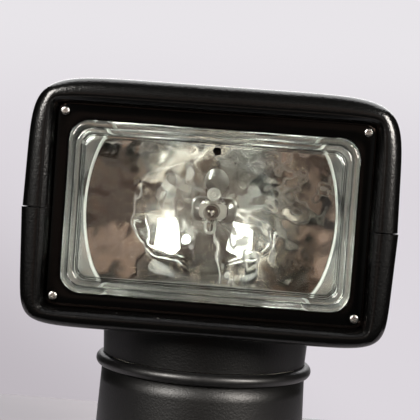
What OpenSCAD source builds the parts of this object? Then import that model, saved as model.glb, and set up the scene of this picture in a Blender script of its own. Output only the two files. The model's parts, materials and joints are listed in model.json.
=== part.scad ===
// Remote-controlled marine searchlight: a rectangular lamp head that tilts on a turning neck,
// on a round column that is bolted to a deck or a cabin roof.
// Millimetres, +Z up, the lamp faces -Y, origin at the centre of the deck face.

/* [Head] */
// Width of the head, across its seam
head_w = 214; // [200:1:230]
// Height of the head
head_h = 142; // [136:1:150]
// How far the back of the head lies behind the turning axis
head_back = 46; // [44:1:60]
// Width of the rim beside the lamp
rim_side = 15.2; // [13:0.1:18]
// Width of the rim above the lamp
rim_top = 14; // [12:0.1:17]
// Width of the rim below the lamp
rim_bottom = 8; // [7:0.1:9]
// Depth of the rim's rounded front
rim_round = 7; // [4:0.1:8]
// Wall of the two shells
shell_wall = 2.6; // [2:0.1:3.2]
// Height of the seam above the bottom of the head
seam_height = 66; // [60:0.5:72]
// How far the lower shell stands proud of the upper one at the seam
seam_step = 0.5; // [0.2:0.1:1]
// Squareness of the upper shell's corners
upper_squareness = 8.5; // [6:0.5:12]
// Squareness of the lower shell's corners
lower_squareness = 11; // [8:0.5:14]

/* [Lamp] */
// Depth of the bezel's face behind the front of the rim
lamp_recess = 9; // [6:0.5:11]
// Gap between the bezel and the rim at each side
bezel_gap_side = 1.3; // [0.8:0.1:2]
// Gap between the bezel and the rim above and below
bezel_gap_top = 2.9; // [1:0.1:3.5]
// Thickness of the bezel
bezel_t = 3; // [2.5:0.1:4]
// Width of the bezel beside the glass
bezel_band_side = 7.5; // [6.8:0.1:10]
// Width of the bezel above and below the glass
bezel_band_top = 6.6; // [6:0.1:9]
// Corner radius of the glass
lens_corner = 12; // [8:0.5:16]
// How far the glass stands proud of the bezel
lens_proud = 3; // [1:0.5:5]
// Thickness of the glass
lens_t = 3; // [2.5:0.1:4]
// Focal length of the reflector
focal = 27; // [26:0.5:30]
// Radius of the reflector's round front edge
bowl_r = 75; // [70:0.5:76]
// How far the reflector's flat walls lie inside the edge of the glass
bowl_inset = 0.5; // [0.5:0.1:4]
// Wall of the reflector
bowl_wall = 1.6; // [1.2:0.1:2]
// Radius of the vent hole in the reflector
vent_r = 2.6; // [1.5:0.1:3.5]
// Height of the vent hole above the lamp's axis
vent_up = 35; // [30:0.5:40]
// Diameter of the lamp capsule's outer glass
capsule_d = 9; // [7:0.5:11]

/* [Neck and column] */
// How far the neck widens from its lower end to the head
neck_flare = 1.2; // [0:0.1:3]
// How far the neck's lower end lies inside the column's top
neck_step = 0.4; // [0:0.1:3]
// Height of the neck's front wall
neck_h = 20.9; // [19:0.1:22]
// How far the neck's top falls from front to back
neck_fall = 13; // [11:0.5:16]
// Radius of the column under the seal
column_top_r = 64.6; // [63:0.1:66]
// Radius of the column above its flange
column_low_r = 67.2; // [66:0.1:70]
// Height of the column, with its flange
column_h = 83; // [80:1:110]
// Width of the flange outside its bolts
flange_edge = 7.5; // [6:0.5:12]
// Thickness of the flange
flange_t = 8; // [6:0.5:11]
// Thickness of the deck gasket
gasket_t = 2; // [1:0.5:4]
// Wall of the neck and the column
tower_wall = 3; // [2.4:0.1:3.4]
// Diameter of the seal between the neck and the column
seal_d = 7.8; // [7:0.1:9]
// How far the deck bolts stand out from the foot of the column
deck_bolt_out = 7.3; // [6.5:0.1:12]
// Radius of a deck bolt hole
deck_bolt_r = 3.25; // [2.2:0.05:3.5]

/* [Motion] */
// Height of the tilt axle above the bottom of the head
axle_height = 9.7; // [8:0.1:11]
// Radius of the tilt axle
axle_r = 4; // [3:0.1:5]
// Radius of the pan spindle
spindle_r = 14; // [12:0.5:15]
// Radius of the cable bore through the spindle
spindle_bore_r = 9; // [6:0.5:10]
// Module of the tilt gears
tilt_module = 0.8; // [0.6:0.1:0.8]
// Teeth of the full circle of the tilt sector
sector_teeth = 75; // [70:1:75]
// Teeth of the tilt pinion
tilt_pinion_teeth = 15; // [14:1:16]
// Gap between the pan ring and the lip beside the seal
ring_gap = 1.4; // [1:0.1:3]
// Teeth of the pan ring
ring_teeth = 80; // [74:2:80]
// Teeth of the pan pinion
pan_pinion_teeth = 16; // [14:1:18]

/* [Fits] */
// Radial clearance of a shaft that turns in its bush
run_fit = 0.04; // [0.02:0.01:0.1]
// Gap between parts that pass each other
pass_gap = 0.4; // [0.3:0.05:0.6]
// Gap between the neck and the pocket in the head
pocket_gap = 3.1; // [2.5:0.1:5]
// Radius of the cable bore in the gland
gland_bore_r = 3.6; // [2.5:0.1:4.5]

/* [Hidden] */
$fn = 96;
eps = 0.5;

// Heights, from the deck up
flange_z = gasket_t;
seat_z = flange_z + column_h;
seal_sink = 0.6;
seal_z = seat_z + seal_d / 2 - seal_sink;
neck_z = seal_z + seal_d / 2 + pass_gap;
neck_front_z = neck_z + neck_h;
lip_gap = 4.8;
head_z = neck_front_z + lip_gap;
seam_z = head_z + seam_height;
head_top_z = head_z + head_h;
axle_z = head_z + axle_height;
open_low_z = head_z + rim_bottom;
open_high_z = head_top_z - rim_top;
lamp_rise = 0.8;
lamp_z = (open_low_z + open_high_z) / 2 + lamp_rise;

// Ends of the neck's cone
neck_low_r = column_top_r - neck_step;
neck_top_r = neck_low_r + neck_flare;

// Depths, with the neck's axis at zero and the front negative
pocket_wall = 2.6;
pocket_front_gap = 4;
lamp_depth = 23;
pocket_front_y = -(neck_top_r + pocket_front_gap);
rim_y = pocket_front_y - pocket_wall - lamp_depth;
back_y = head_back;
bezel_y = rim_y + lamp_recess;
glass_y = bezel_y + bezel_t;
lens_gasket_t = 2;
lens_gasket_y = glass_y + lens_t;
flange_plate_t = 2;
bowl_y = lens_gasket_y + lens_gasket_t;
ledge_y = bowl_y + flange_plate_t;
ledge_t = 3;
ledge_back_y = ledge_y + ledge_t;
vertex_y = bowl_y + bowl_r * bowl_r / (4 * focal);

// The rim's opening and what sits in it
open_w = head_w - 2 * rim_side;
open_h = open_high_z - open_low_z;
open_r = 5;
open_mid_z = (open_high_z + open_low_z) / 2;
bezel_w = open_w - 2 * bezel_gap_side;
bezel_h = open_h - 2 * bezel_gap_top;
bezel_r = 6;
lens_w = bezel_w - 2 * bezel_band_side;
lens_h = bezel_h - 2 * bezel_band_top;
bowl_flat = lens_h / 2 - bowl_inset;
screw_inset = 4;
screw_x = bezel_w / 2 - screw_inset;
screw_z = bezel_h / 2 - screw_inset;
screw_head_r = 2.8;
screw_head_h = 2;
screw_shank_r = 1.45;
screw_l = 20;
cross_l = 3;
cross_w = 0.8;
cross_depth = 1.2;
lens_hidden = 1.5;
lens_clear = 0.4;

// Rear shape of the head: how fast its sides, top and belly draw in
straight_l = 35;
taper_from_y = rim_y + straight_l;
side_taper = 0.0009;
top_taper = 0.0013;
back_round = 14;
upper_h = head_top_z - seam_z;
lower_h = seam_z - head_z;

// Pocket under the head that the neck's top moves in
pocket_x = neck_top_r + pocket_gap;
bowl_gap = 0.6;
pocket_roof_z = lamp_z - bowl_flat - bowl_wall - pocket_wall - bowl_gap;
ear_x = 46;
ear_t = 8;
ear_r = 9;
bush_wall = 2;
bush_flange_t = 1.5;
bush_past = 4;
bush_l = pocket_wall + bush_past;
axle_end = 3;
axle_half = pocket_x + bush_l + axle_end;
clip_in = 1.5;
clip_t = 0.9;
clip_depth = 0.8;

// Tilt drive
sector_r = tilt_module * sector_teeth / 2;
tilt_pinion_r = tilt_module * tilt_pinion_teeth / 2;
tilt_gear_t = 6;
tilt_mesh_angle = 60;
tilt_centre = sector_r + tilt_pinion_r;
tilt_pinion_y = tilt_centre * cos(tilt_mesh_angle);
tilt_pinion_z = axle_z + tilt_centre * sin(tilt_mesh_angle);
tilt_motor_r = 12.5;
tilt_motor_l = 46;
tilt_gear_gap = 2;
bracket_t = 2.5;
bracket_w = 2 * tilt_motor_r;
bracket_x = tilt_gear_t / 2 + tilt_gear_gap;
motor_shaft_r = 2;
motor_shaft_l = 11;
motor_nose_r = 5;
motor_nose_l = 3;

// The belly rises behind the tilt drive, so that its floor clears the sector and the motor's bracket
drive_gap = 1.5;
drive_back_y = max(tilt_pinion_y + bracket_w / 2, sector_r + tilt_module) + drive_gap;
belly_from_y = drive_back_y + sqrt(2) * shell_wall - (pocket_roof_z + pocket_wall - head_z);

// Seat of the seal and the lip beside it
deck_t = 4;
seat_rise = 6;
deck_z = seat_z - seat_rise;
seat_w = tower_wall + 1;
lip_gap_r = 1.3;
lip_t = 1;
lip_low_r = column_top_r - seal_d / 2 - lip_gap_r;
// Inner radius of the column at a height
function column_in_r(z) = column_low_r - tower_wall + (column_top_r - seat_w - column_low_r + tower_wall)
    * (z - flange_z - flange_t) / (deck_z - flange_z - flange_t);

// Pan drive
ring_rim = 8;
ring_rim_r = lip_low_r - ring_gap;
ring_r = ring_rim_r - ring_rim;
pan_module = 2 * ring_r / ring_teeth;
ring_screw_circle_r = ring_r + ring_rim - 3.5;
ring_t = 6.4;
gear_gap = 0.5;
pan_pinion_r = pan_module * pan_pinion_teeth / 2;
pan_centre = ring_r - pan_pinion_r;
pan_motor_angle = 0;
pan_motor_r = 14;
pan_motor_l = 44;
motor_screw_x = 8;
web_z = neck_z + pass_gap;
web_t = 3;
hub_wall = 6;
pan_bush_wall = 2.5;
hub_r = spindle_r + hub_wall;
bush_r = spindle_r + pan_bush_wall;
washer_z = deck_z + deck_t;
washer_t = 2;
hub_z = washer_z + washer_t;
hub_h = web_z + web_t - hub_z;
nut_h = 4.5;
nut_wall = 5;
motor_gap = 2;
spindle_flange_r = pan_centre - pan_motor_r - motor_gap;
spindle_flange_t = 4;
spindle_screw_circle_r = spindle_r + 0.6 * (spindle_flange_r - spindle_r);

// Flange and column fittings
deck_bolt_circle_r = column_low_r + deck_bolt_out;
flange_r = deck_bolt_circle_r + flange_edge;
plate_t = 3;
plate_gap = 0.3;
plate_screw_in = 5;
plate_boss_r = 5.5;
plate_boss_h = 12;
plate_r = column_low_r - tower_wall - plate_gap;
plate_screw_circle_r = plate_r - plate_screw_in;
gland_up = 18;
gland_z = flange_z + flange_t + gland_up;
gland_wall = 4;
gland_hex_rim = 4;
gland_pad = 2;
gland_inner_pad = 1.5;
gland_hex_t = 5;
gland_dome_l = 13;
gland_thread_r = gland_bore_r + gland_wall;
gland_hex_r = gland_thread_r + gland_hex_rim;
gland_face_y = column_low_r + gland_pad;
gland_seat_y = column_in_r(gland_z + gland_hex_r) - gland_inner_pad;

// Small fasteners: shank, clearance hole, head and head recess
m3_r = 1.3;
m3_clear_r = 1.6;
m3_head_r = 2.7;
m3_head_h = 1.6;
m3_sink_r = 3.2;
m3_l = 7;
m4_r = 1.55;
m4_clear_r = 2.1;
m4_head_r = 3.5;
m4_head_h = 2.5;
m4_sink_r = 3.8;
m4_l = 24;

// Longer than anything it cuts
far = 300;

// Shared shapes

// Rounded rectangle about the origin
module rounded_rect(w, h, r) {
    square([w - 2 * r, h], center = true);
    square([w, h - 2 * r], center = true);
    for (x = [-1, 1], z = [-1, 1])
        translate([x * (w / 2 - r), z * (h / 2 - r)]) circle(r);
}

// Flat piece that faces -Y: its outline is drawn in X and Z about the given centre
module facing(y, t, z = lamp_z) {
    translate([0, y + t, z]) rotate([90, 0, 0]) linear_extrude(t) children();
}

// Rod along X, centred on x
module rod_x(x, y, z, r, length) {
    translate([x - length / 2, y, z]) rotate([0, 90, 0]) cylinder(r = r, h = length);
}

// Rod along Y, from y towards the back
module rod_y(x, y, z, r, length) {
    translate([x, y + length, z]) rotate([90, 0, 0]) cylinder(r = r, h = length);
}

// Small pan-head screw that points up, its head's top face at z zero
module m3_screw(length = m3_l) {
    cylinder(r = m3_head_r, h = m3_head_h);
    translate([0, 0, m3_head_h]) cylinder(r = m3_r, h = length);
}

// Involute gear outlines
pressure = 20;
addendum = 0.75;
dedendum = 1.05;
backlash = 0.06;
function involute(a) = tan(a) * 180 / PI - a;
function flank(r, base_r) = r > base_r ? involute(acos(base_r / r)) : 0;
// Half angle of a tooth at radius r, where pitch_half is its half angle at the pitch circle
function half_tooth(r, pitch_r, pitch_half) =
    pitch_half + involute(pressure) - flank(r, pitch_r * cos(pressure));
function tooth(angle, radii, pitch_r, pitch_half) = concat(
    [for (r = radii) let (a = angle - half_tooth(r, pitch_r, pitch_half)) r * [cos(a), sin(a)]],
    [for (i = [len(radii) - 1:-1:0])
        let (r = radii[i], a = angle + half_tooth(r, pitch_r, pitch_half)) r * [cos(a), sin(a)]]);
function gear_points(module_mm, teeth, low, high, share, from, count) =
    let (pitch_r = module_mm * teeth / 2,
         radii = [for (k = [0:3]) pitch_r + module_mm * (-low + (low + high) * k / 3)])
    [for (i = [0:count - 1], p = tooth(from + i * 360 / teeth, radii, pitch_r, 180 * share / teeth)) p];

// Head outline: half superellipses above and below the seam, lofted along the depth
loft_steps = 32;
function corner_curve(v, n) = sign(v) * pow(abs(v), 2 / n);
function half_outline(w, h, n) =
    [for (i = [0:loft_steps]) let (a = 180 * i / loft_steps)
        [w * corner_curve(cos(a), n), h * corner_curve(sin(a), n)]];
function draw_in(y) = pow(max(0, y - taper_from_y), 2);
function side_at(y) = head_w / 2 - side_taper * draw_in(y);
function top_at(y) = upper_h - top_taper * draw_in(y);
function belly_at(y) = lower_h - max(0, y - belly_from_y);
// Stations along the depth: each is a depth and how far the outline is drawn in there
front_steps = 4;
body_steps = 3;
body_stations = concat(
    [for (i = [0:body_steps]) taper_from_y + (belly_from_y - taper_from_y) * i / body_steps],
    [(belly_from_y + back_y - back_round) / 2]);
function loft_stations(inset) = concat(
    [for (i = [0:front_steps]) let (a = 90 * i / front_steps)
        [rim_y + inset + rim_round * (1 - cos(a)), inset + rim_round * (1 - sin(a))]],
    [for (y = body_stations) [y, inset]],
    [for (i = [0:front_steps]) let (a = 90 * i / front_steps)
        [back_y - inset - back_round * (1 - sin(a)), inset + back_round * (1 - cos(a))]]);

// One half of the head as a closed solid: up is 1 above the seam and -1 below it.
// Below zero, reach carries the flat side past the seam, so that a hollow cuts through it.
module head_half(up, inset, reach, widen) {
    rows = [for (s = loft_stations(inset))
        let (w = side_at(s[0]) - s[1] + widen,
             h = (up > 0 ? top_at(s[0]) : belly_at(s[0])) - s[1],
             edge = half_outline(w, h, up > 0 ? upper_squareness : lower_squareness))
        reach > 0 ? concat([[w, -reach]], edge, [[-w, -reach]]) : edge];
    count = len(rows[0]);
    points = [for (i = [0:len(rows) - 1], p = rows[i])
        [p[0], loft_stations(inset)[i][0], seam_z + up * p[1]]];
    last = (len(rows) - 1) * count;
    sides = [for (i = [0:len(rows) - 2], j = [0:count - 1])
        let (a = i * count + j, b = i * count + (j + 1) % count)
        each [[a, b, b + count], [a, b + count, a + count]]];
    caps = [[for (j = [count - 1:-1:0]) j], [for (j = [0:count - 1]) last + j]];
    faces = concat(sides, caps);
    polyhedron(points, up < 0 ? [for (f = faces) [for (k = [len(f) - 1:-1:0]) f[k]]] : faces);
}

// Base

module base_gasket() {
    color("dimgray") difference() {
        cylinder(r = flange_r, h = gasket_t);
        translate([0, 0, -eps]) cylinder(r = plate_r, h = gasket_t + 2 * eps);
        deck_bolt_holes(-eps, gasket_t + 2 * eps);
    }
}

module deck_bolt_holes(z, h) {
    for (a = [45:90:315]) rotate(a) translate([deck_bolt_circle_r, 0, z]) cylinder(r = deck_bolt_r, h = h);
}

// Column wall, flange, inner deck and seal seat as one profile of revolution
module housing_profile() {
    edge = 3;
    fillet = 5;
    translate([column_low_r - tower_wall, flange_z])
        square([flange_r - edge - column_low_r + tower_wall, flange_t]);
    translate([flange_r - 2 * edge, flange_z]) square([2 * edge, flange_t - edge]);
    translate([flange_r - edge, flange_z + flange_t - edge]) circle(edge);
    difference() {
        translate([column_low_r - 1, flange_z + flange_t - eps]) square([fillet + 1, fillet + eps]);
        translate([column_low_r + fillet, flange_z + flange_t + fillet]) circle(fillet);
    }
    polygon([
        [column_low_r - tower_wall, flange_z], [column_low_r, flange_z + flange_t],
        [column_top_r, seat_z], [column_top_r - seat_w, seat_z],
        [column_top_r - seat_w, deck_z], [column_low_r - tower_wall, flange_z + flange_t]]);
    translate([spindle_r + run_fit, deck_z]) square([column_top_r - tower_wall - spindle_r, deck_t]);
    translate([lip_low_r, deck_z]) square([column_top_r - tower_wall - lip_low_r, seat_z - deck_z]);
    translate([lip_low_r, seat_z - eps]) square([lip_t, seal_d / 2 + eps - lip_t]);
}

module plate_screw_places() {
    for (a = [0:90:270]) rotate(a) translate([plate_screw_circle_r, 0, flange_z]) children();
}

module spindle_screw_places() {
    for (a = [30:120:270]) rotate(a) translate([spindle_screw_circle_r, 0, deck_z]) children();
}

module pan_motor_screw_places() {
    pan_motor_place() for (x = [-1, 1]) translate([motor_screw_x * x, 0, deck_z]) children();
}

module base_housing() {
    color([0.07, 0.07, 0.075]) difference() {
        union() {
            rotate_extrude() housing_profile();
            rod_y(0, gland_seat_y, gland_z, gland_hex_r + 1, gland_face_y - gland_seat_y);
            plate_screw_places() translate([0, 0, plate_t]) cylinder(r = plate_boss_r, h = plate_boss_h);
        }
        deck_bolt_holes(flange_z - eps, flange_t + 2 * eps);
        rod_y(0, gland_seat_y - eps, gland_z, gland_thread_r, gland_face_y - gland_seat_y + 2 * eps);
        plate_screw_places() cylinder(r = m3_r, h = plate_t + plate_boss_h - 2);
        pan_motor_place() translate([0, 0, deck_z - eps])
            cylinder(r = 2 * motor_shaft_r, h = deck_t + 2 * eps);
        pan_motor_screw_places() {
            translate([0, 0, -eps]) cylinder(r = m3_clear_r, h = deck_t + 2 * eps);
            translate([0, 0, deck_t - m3_head_h]) cylinder(r = m3_sink_r, h = m3_head_h + eps);
        }
        spindle_screw_places() translate([0, 0, -eps]) cylinder(r = m3_r, h = deck_t + 2 * eps);
    }
}

module base_plate() {
    color("gray") difference() {
        translate([0, 0, flange_z]) cylinder(r = plate_r, h = plate_t);
        plate_screw_places() translate([0, 0, -eps]) {
            cylinder(r = m3_clear_r, h = plate_t + 2 * eps);
            cylinder(r = m3_sink_r, h = m3_head_h + eps);
        }
    }
}

module base_plate_screws() {
    color("silver") plate_screw_places() m3_screw();
}

module cable_gland() {
    thread_l = 13;
    hex_y = gland_face_y + gland_hex_t;
    color([0.1, 0.1, 0.1]) difference() {
        union() {
            rod_y(0, gland_face_y - thread_l, gland_z, gland_thread_r - 0.1, thread_l + gland_hex_t);
            translate([0, hex_y, gland_z]) rotate([90, 0, 0])
                cylinder(r = gland_hex_r, h = gland_hex_t, $fn = 6);
            translate([0, hex_y, gland_z]) rotate([-90, 0, 0])
                cylinder(r1 = gland_hex_r - 1.6, r2 = gland_bore_r + 2.6, h = gland_dome_l);
        }
        rod_y(0, 0, gland_z, gland_bore_r, far);
    }
}

module gland_locknut() {
    nut_t = 4;
    nut_rim = 3.2;
    color([0.1, 0.1, 0.1]) difference() {
        translate([0, gland_seat_y, gland_z]) rotate([90, 0, 0])
            cylinder(r = gland_thread_r + nut_rim, h = nut_t, $fn = 6);
        rod_y(0, gland_seat_y - nut_t - eps, gland_z, gland_thread_r, nut_t + 2 * eps);
    }
}

ballast_size = [84, 50, 22];
ballast_z = flange_z + plate_t;
board_up = 12;
board_z = ballast_z + ballast_size[2] + board_up;
post_r = 2.6;
post_pin_r = 1.4;
post_gap = 1.4;
post_x = 11;
post_y = ballast_size[1] / 2 + post_gap + post_r;
board_x = -32;
board_margin = 4;
board_w = 32;
board_d = 2 * (post_y + board_margin);
board_t = 1.6;

module ballast() {
    fin_t = 1.5;
    fin_h = 3;
    fin_pitch = 6;
    block_h = ballast_size[2] - fin_h;
    color("silver") translate([-ballast_size[0] / 2, -ballast_size[1] / 2, ballast_z]) {
        cube([ballast_size[0], ballast_size[1], block_h]);
        for (y = [0:fin_pitch:ballast_size[1] - fin_t])
            translate([0, y, block_h - eps]) cube([ballast_size[0], fin_t, fin_h + eps]);
    }
}

module board_holes() {
    for (x = [-1, 1], y = [-1, 1])
        translate([board_x + x * post_x, y * post_y, 0]) children();
}

module control_board() {
    chip = [12, 12, 2];
    chip_x = -12;
    chip_y = -8;
    relay = [11, 18, 9];
    relay_x = 3;
    relay_y = -16;
    capacitor_r = 4;
    capacitor_h = 11;
    capacitor_x = -4;
    capacitor_y = 14;
    color("darkgreen") difference() {
        union() {
            translate([board_x - board_w / 2, -board_d / 2, board_z]) cube([board_w, board_d, board_t]);
            translate([board_x, 0, board_z + board_t - eps]) {
                translate([chip_x, chip_y, 0]) cube([chip[0], chip[1], chip[2] + eps]);
                translate([relay_x, relay_y, 0]) cube([relay[0], relay[1], relay[2] + eps]);
                translate([capacitor_x, capacitor_y, 0]) cylinder(r = capacitor_r, h = capacitor_h + eps);
            }
        }
        board_holes() translate([0, 0, board_z - eps]) cylinder(r = post_pin_r + 0.1, h = board_t + 2 * eps);
    }
}

module board_posts() {
    color("silver") board_holes() {
        translate([0, 0, ballast_z]) cylinder(r = post_r, h = board_z - ballast_z);
        translate([0, 0, board_z - eps]) cylinder(r = post_pin_r, h = 3 * board_t);
    }
}

module pan_motor_place() {
    rotate(pan_motor_angle) translate([pan_centre, 0, 0]) children();
}

module pan_motor() {
    color("silver") pan_motor_place() difference() {
        union() {
            translate([0, 0, deck_z - pan_motor_l]) cylinder(r = pan_motor_r, h = pan_motor_l);
            translate([0, 0, deck_z - pan_motor_l - motor_nose_l])
                cylinder(r = motor_nose_r, h = motor_nose_l + eps);
        }
        translate([0, 0, deck_z - motor_shaft_l - eps])
            cylinder(r = motor_shaft_r + run_fit, h = motor_shaft_l + 2 * eps);
        for (x = [-1, 1]) translate([motor_screw_x * x, 0, deck_z - m3_l]) cylinder(r = m3_r, h = m3_l + eps);
    }
}

module pan_motor_screws() {
    color("silver") pan_motor_screw_places() translate([0, 0, deck_t]) rotate([180, 0, 0]) m3_screw();
}

module pan_spindle() {
    top_z = hub_z + hub_h + pass_gap + nut_h + eps;
    color("gainsboro") difference() {
        union() {
            translate([0, 0, deck_z - spindle_flange_t]) cylinder(r = spindle_flange_r, h = spindle_flange_t);
            translate([0, 0, deck_z - eps]) cylinder(r = spindle_r, h = top_z - deck_z + eps);
        }
        translate([0, 0, deck_z - spindle_flange_t - eps])
            cylinder(r = spindle_bore_r, h = top_z - deck_z + spindle_flange_t + 2 * eps);
        spindle_screw_places() translate([0, 0, -spindle_flange_t - eps])
            cylinder(r = m3_clear_r, h = spindle_flange_t + 2 * eps);
    }
}

module spindle_screws() {
    color("silver") spindle_screw_places() translate([0, 0, -spindle_flange_t - m3_head_h]) m3_screw();
}

module spindle_nut() {
    color("goldenrod") difference() {
        translate([0, 0, hub_z + hub_h + pass_gap]) cylinder(r = spindle_r + nut_wall, h = nut_h, $fn = 6);
        translate([0, 0, hub_z + hub_h]) cylinder(r = spindle_r, h = nut_h + pass_gap + eps);
    }
}

module thrust_washer() {
    color("whitesmoke") difference() {
        translate([0, 0, washer_z]) cylinder(r = hub_r, h = washer_t - run_fit);
        translate([0, 0, washer_z - eps]) cylinder(r = spindle_r + 2 * run_fit, h = washer_t + 2 * eps);
    }
}

module neck_seal() {
    color([0.05, 0.05, 0.05]) rotate_extrude() difference() {
        translate([column_top_r, seal_z]) circle(seal_d / 2);
        translate([column_top_r - seal_d, seat_z - seal_d]) square([2 * seal_d, seal_d]);
    }
}

module pan_pinion() {
    color("ivory") pan_motor_place() {
        translate([0, 0, web_z - ring_t + gear_gap]) linear_extrude(ring_t - 2 * gear_gap)
            rotate(-pan_motor_angle) polygon(gear_points(pan_module, pan_pinion_teeth, dedendum, addendum,
                0.5 - backlash, pan_motor_angle, pan_pinion_teeth));
        translate([0, 0, deck_z - motor_shaft_l])
            cylinder(r = motor_shaft_r, h = web_z - gear_gap - deck_z + motor_shaft_l);
    }
}

// Turning neck

neck_slope = atan(neck_fall / (2 * neck_top_r));
neck_mid_z = neck_front_z - neck_fall / 2;

// Everything above the neck's sloping top, less a depth below it
module above_neck(depth) {
    translate([0, 0, neck_mid_z]) rotate([-neck_slope, 0, 0])
        translate([-far / 2, -far / 2, -depth]) cube(far);
}

// The neck's cone, drawn in by a wall and with a centre of its own
neck_lean = neck_flare / neck_h;
neck_tall = neck_h + 10;
module neck_cone(inset) {
    translate([0, 0, neck_z])
        cylinder(r1 = neck_low_r - inset, r2 = neck_low_r - inset + neck_lean * neck_tall, h = neck_tall);
}

cap_t = 3;
cap_screw_r = 50;
cap_angles = [35, 145, 215, 325];
// Flat seat of a cap screw, cut a little into the slope
cap_sink = 0.8;
function cap_seat_z(a) = neck_mid_z - tan(neck_slope) * cap_screw_r * sin(a) - cap_sink;

module cap_screw_places() {
    for (a = cap_angles) rotate(a) translate([cap_screw_r, 0, 0]) children();
}

module ring_screw_places() {
    for (a = [0:60:300]) rotate(a) translate([ring_screw_circle_r, 0, web_z]) children();
}

module neck_shell() {
    cap_post_r = 5;
    color([0.07, 0.07, 0.075]) difference() {
        union() {
            difference() {
                neck_cone(0);
                neck_cone(tower_wall);
                above_neck(0);
            }
            translate([0, 0, web_z]) cylinder(r = neck_low_r - tower_wall / 2, h = web_t);
            translate([0, 0, hub_z]) cylinder(r = hub_r, h = hub_h);
            difference() {
                cap_screw_places() translate([0, 0, web_z]) cylinder(r = cap_post_r, h = neck_tall);
                above_neck(cap_t);
            }
        }
        translate([0, 0, hub_z - eps]) cylinder(r = bush_r, h = hub_h + 2 * eps);
        cap_screw_places() translate([0, 0, web_z + web_t]) cylinder(r = m3_r, h = neck_tall);
        ring_screw_places() translate([0, 0, -eps]) cylinder(r = m3_clear_r, h = web_t + 2 * eps);
    }
}

module neck_cap() {
    cable_r = 8;
    color([0.08, 0.08, 0.085]) difference() {
        union() {
            intersection() {
                neck_cone(tower_wall + pass_gap / 2);
                difference() {
                    above_neck(cap_t);
                    above_neck(0);
                }
            }
            for (x = [-1, 1]) {
                rod_x(x * (ear_x + ear_t / 2), 0, axle_z, ear_r, ear_t);
                translate([x * (ear_x + ear_t / 2) - ear_t / 2, -ear_r, neck_mid_z - cap_t / 2])
                    cube([ear_t, 2 * ear_r, axle_z - neck_mid_z + cap_t / 2]);
            }
        }
        rod_x(0, 0, axle_z, axle_r, far);
        cylinder(r = cable_r, h = far);
        cap_screw_places() cylinder(r = m3_clear_r, h = far);
        for (a = cap_angles) rotate(a) translate([cap_screw_r, 0, cap_seat_z(a)])
            cylinder(r = m3_sink_r, h = far);
        sector_slot();
    }
}

// Room for the foot of the tilt sector in the neck's cap
module sector_slot() {
    foot_r = axle_z - neck_mid_z + cap_t + 1;
    rod_x(0, 0, axle_z, foot_r, tilt_gear_t + 2 * pass_gap);
}

module neck_cap_screws() {
    color("silver") for (a = cap_angles) rotate(a) translate([cap_screw_r, 0, cap_seat_z(a) + m3_head_h])
        rotate([180, 0, 0]) m3_screw();
}

ring_screw_l = 5;

module pan_ring_gear() {
    color("ivory") difference() {
        translate([0, 0, web_z - ring_t]) cylinder(r = ring_rim_r, h = ring_t);
        translate([0, 0, web_z - ring_t - eps]) linear_extrude(ring_t + 2 * eps)
            polygon(gear_points(pan_module, ring_teeth, addendum, dedendum, 0.5 + backlash,
                pan_motor_angle, ring_teeth));
        ring_screw_places() translate([0, 0, -ring_screw_l]) cylinder(r = m3_r, h = ring_screw_l + eps);
    }
}

module ring_gear_screws() {
    color("silver") ring_screw_places() translate([0, 0, web_t + m3_head_h])
        rotate([180, 0, 0]) m3_screw(web_t + ring_screw_l - eps);
}

module pan_bush() {
    color("darkgoldenrod") difference() {
        translate([0, 0, hub_z]) cylinder(r = bush_r, h = hub_h);
        translate([0, 0, hub_z - eps]) cylinder(r = spindle_r + run_fit, h = hub_h + 2 * eps);
    }
}

module tilt_axle() {
    color("gainsboro") difference() {
        rod_x(0, 0, axle_z, axle_r, 2 * axle_half);
        for (x = [-1, 1]) difference() {
            rod_x(x * (axle_half - clip_in), 0, axle_z, axle_r + 1, clip_t + 0.1);
            rod_x(x * (axle_half - clip_in), 0, axle_z, axle_r - clip_depth, 2 * clip_t);
        }
    }
}

module axle_clips() {
    mouth = 3;
    color("silver") for (x = [-1, 1]) difference() {
        rod_x(x * (axle_half - clip_in), 0, axle_z, axle_r + 2, clip_t);
        rod_x(x * (axle_half - clip_in), 0, axle_z, axle_r - clip_depth, 2 * clip_t);
        translate([x * (axle_half - clip_in) - clip_t, -mouth / 2, axle_z])
            cube([2 * clip_t, mouth, 2 * axle_r]);
    }
}

sector_from = -8;
sector_count = 22;

module tilt_sector() {
    step = 360 / sector_teeth;
    first = tilt_mesh_angle - step * round((tilt_mesh_angle - sector_from) / step);
    teeth = gear_points(tilt_module, sector_teeth, dedendum, addendum, 0.5 - backlash, first, sector_count);
    color("ivory") difference() {
        union() {
            translate([-tilt_gear_t / 2, 0, axle_z]) rotate([90, 0, 90]) linear_extrude(tilt_gear_t)
                polygon(concat([[0, 0]], teeth));
            rod_x(0, 0, axle_z, ear_r, tilt_gear_t);
            translate([-tilt_gear_t / 2, -ear_r, neck_mid_z - cap_t / 2])
                cube([tilt_gear_t, 2 * ear_r, axle_z - neck_mid_z]);
        }
        rod_x(0, 0, axle_z, axle_r, far);
    }
}

// Head

// Fixed front of one shell: the rim's inner wall and the ledge behind the lamp
module rim_tube() {
    facing(rim_y, ledge_back_y - rim_y, open_mid_z)
        rounded_rect(open_w + 2 * shell_wall, open_h + 2 * shell_wall, open_r + shell_wall);
}

module lamp_opening() {
    facing(rim_y - eps, ledge_y - rim_y + eps, open_mid_z) rounded_rect(open_w, open_h, open_r);
    facing(ledge_y - eps, ledge_t + 2 * eps)
        rounded_rect(2 * bowl_r + 8, 2 * (bowl_flat + bowl_wall) + 2, lens_corner);
    for (x = [-1, 1], z = [-1, 1])
        rod_y(x * screw_x, ledge_y - eps, lamp_z + z * screw_z, screw_shank_r, screw_post_l);
}

boss_in = 14;
boss_x = head_w / 2 - boss_in;
boss_y = [-50, 12];
boss_r = 5;
boss_h = 22;
boss_rib_t = 2.4;
boss_floor = 12;
screw_post_r = 4;
screw_post_l = 12;

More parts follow.
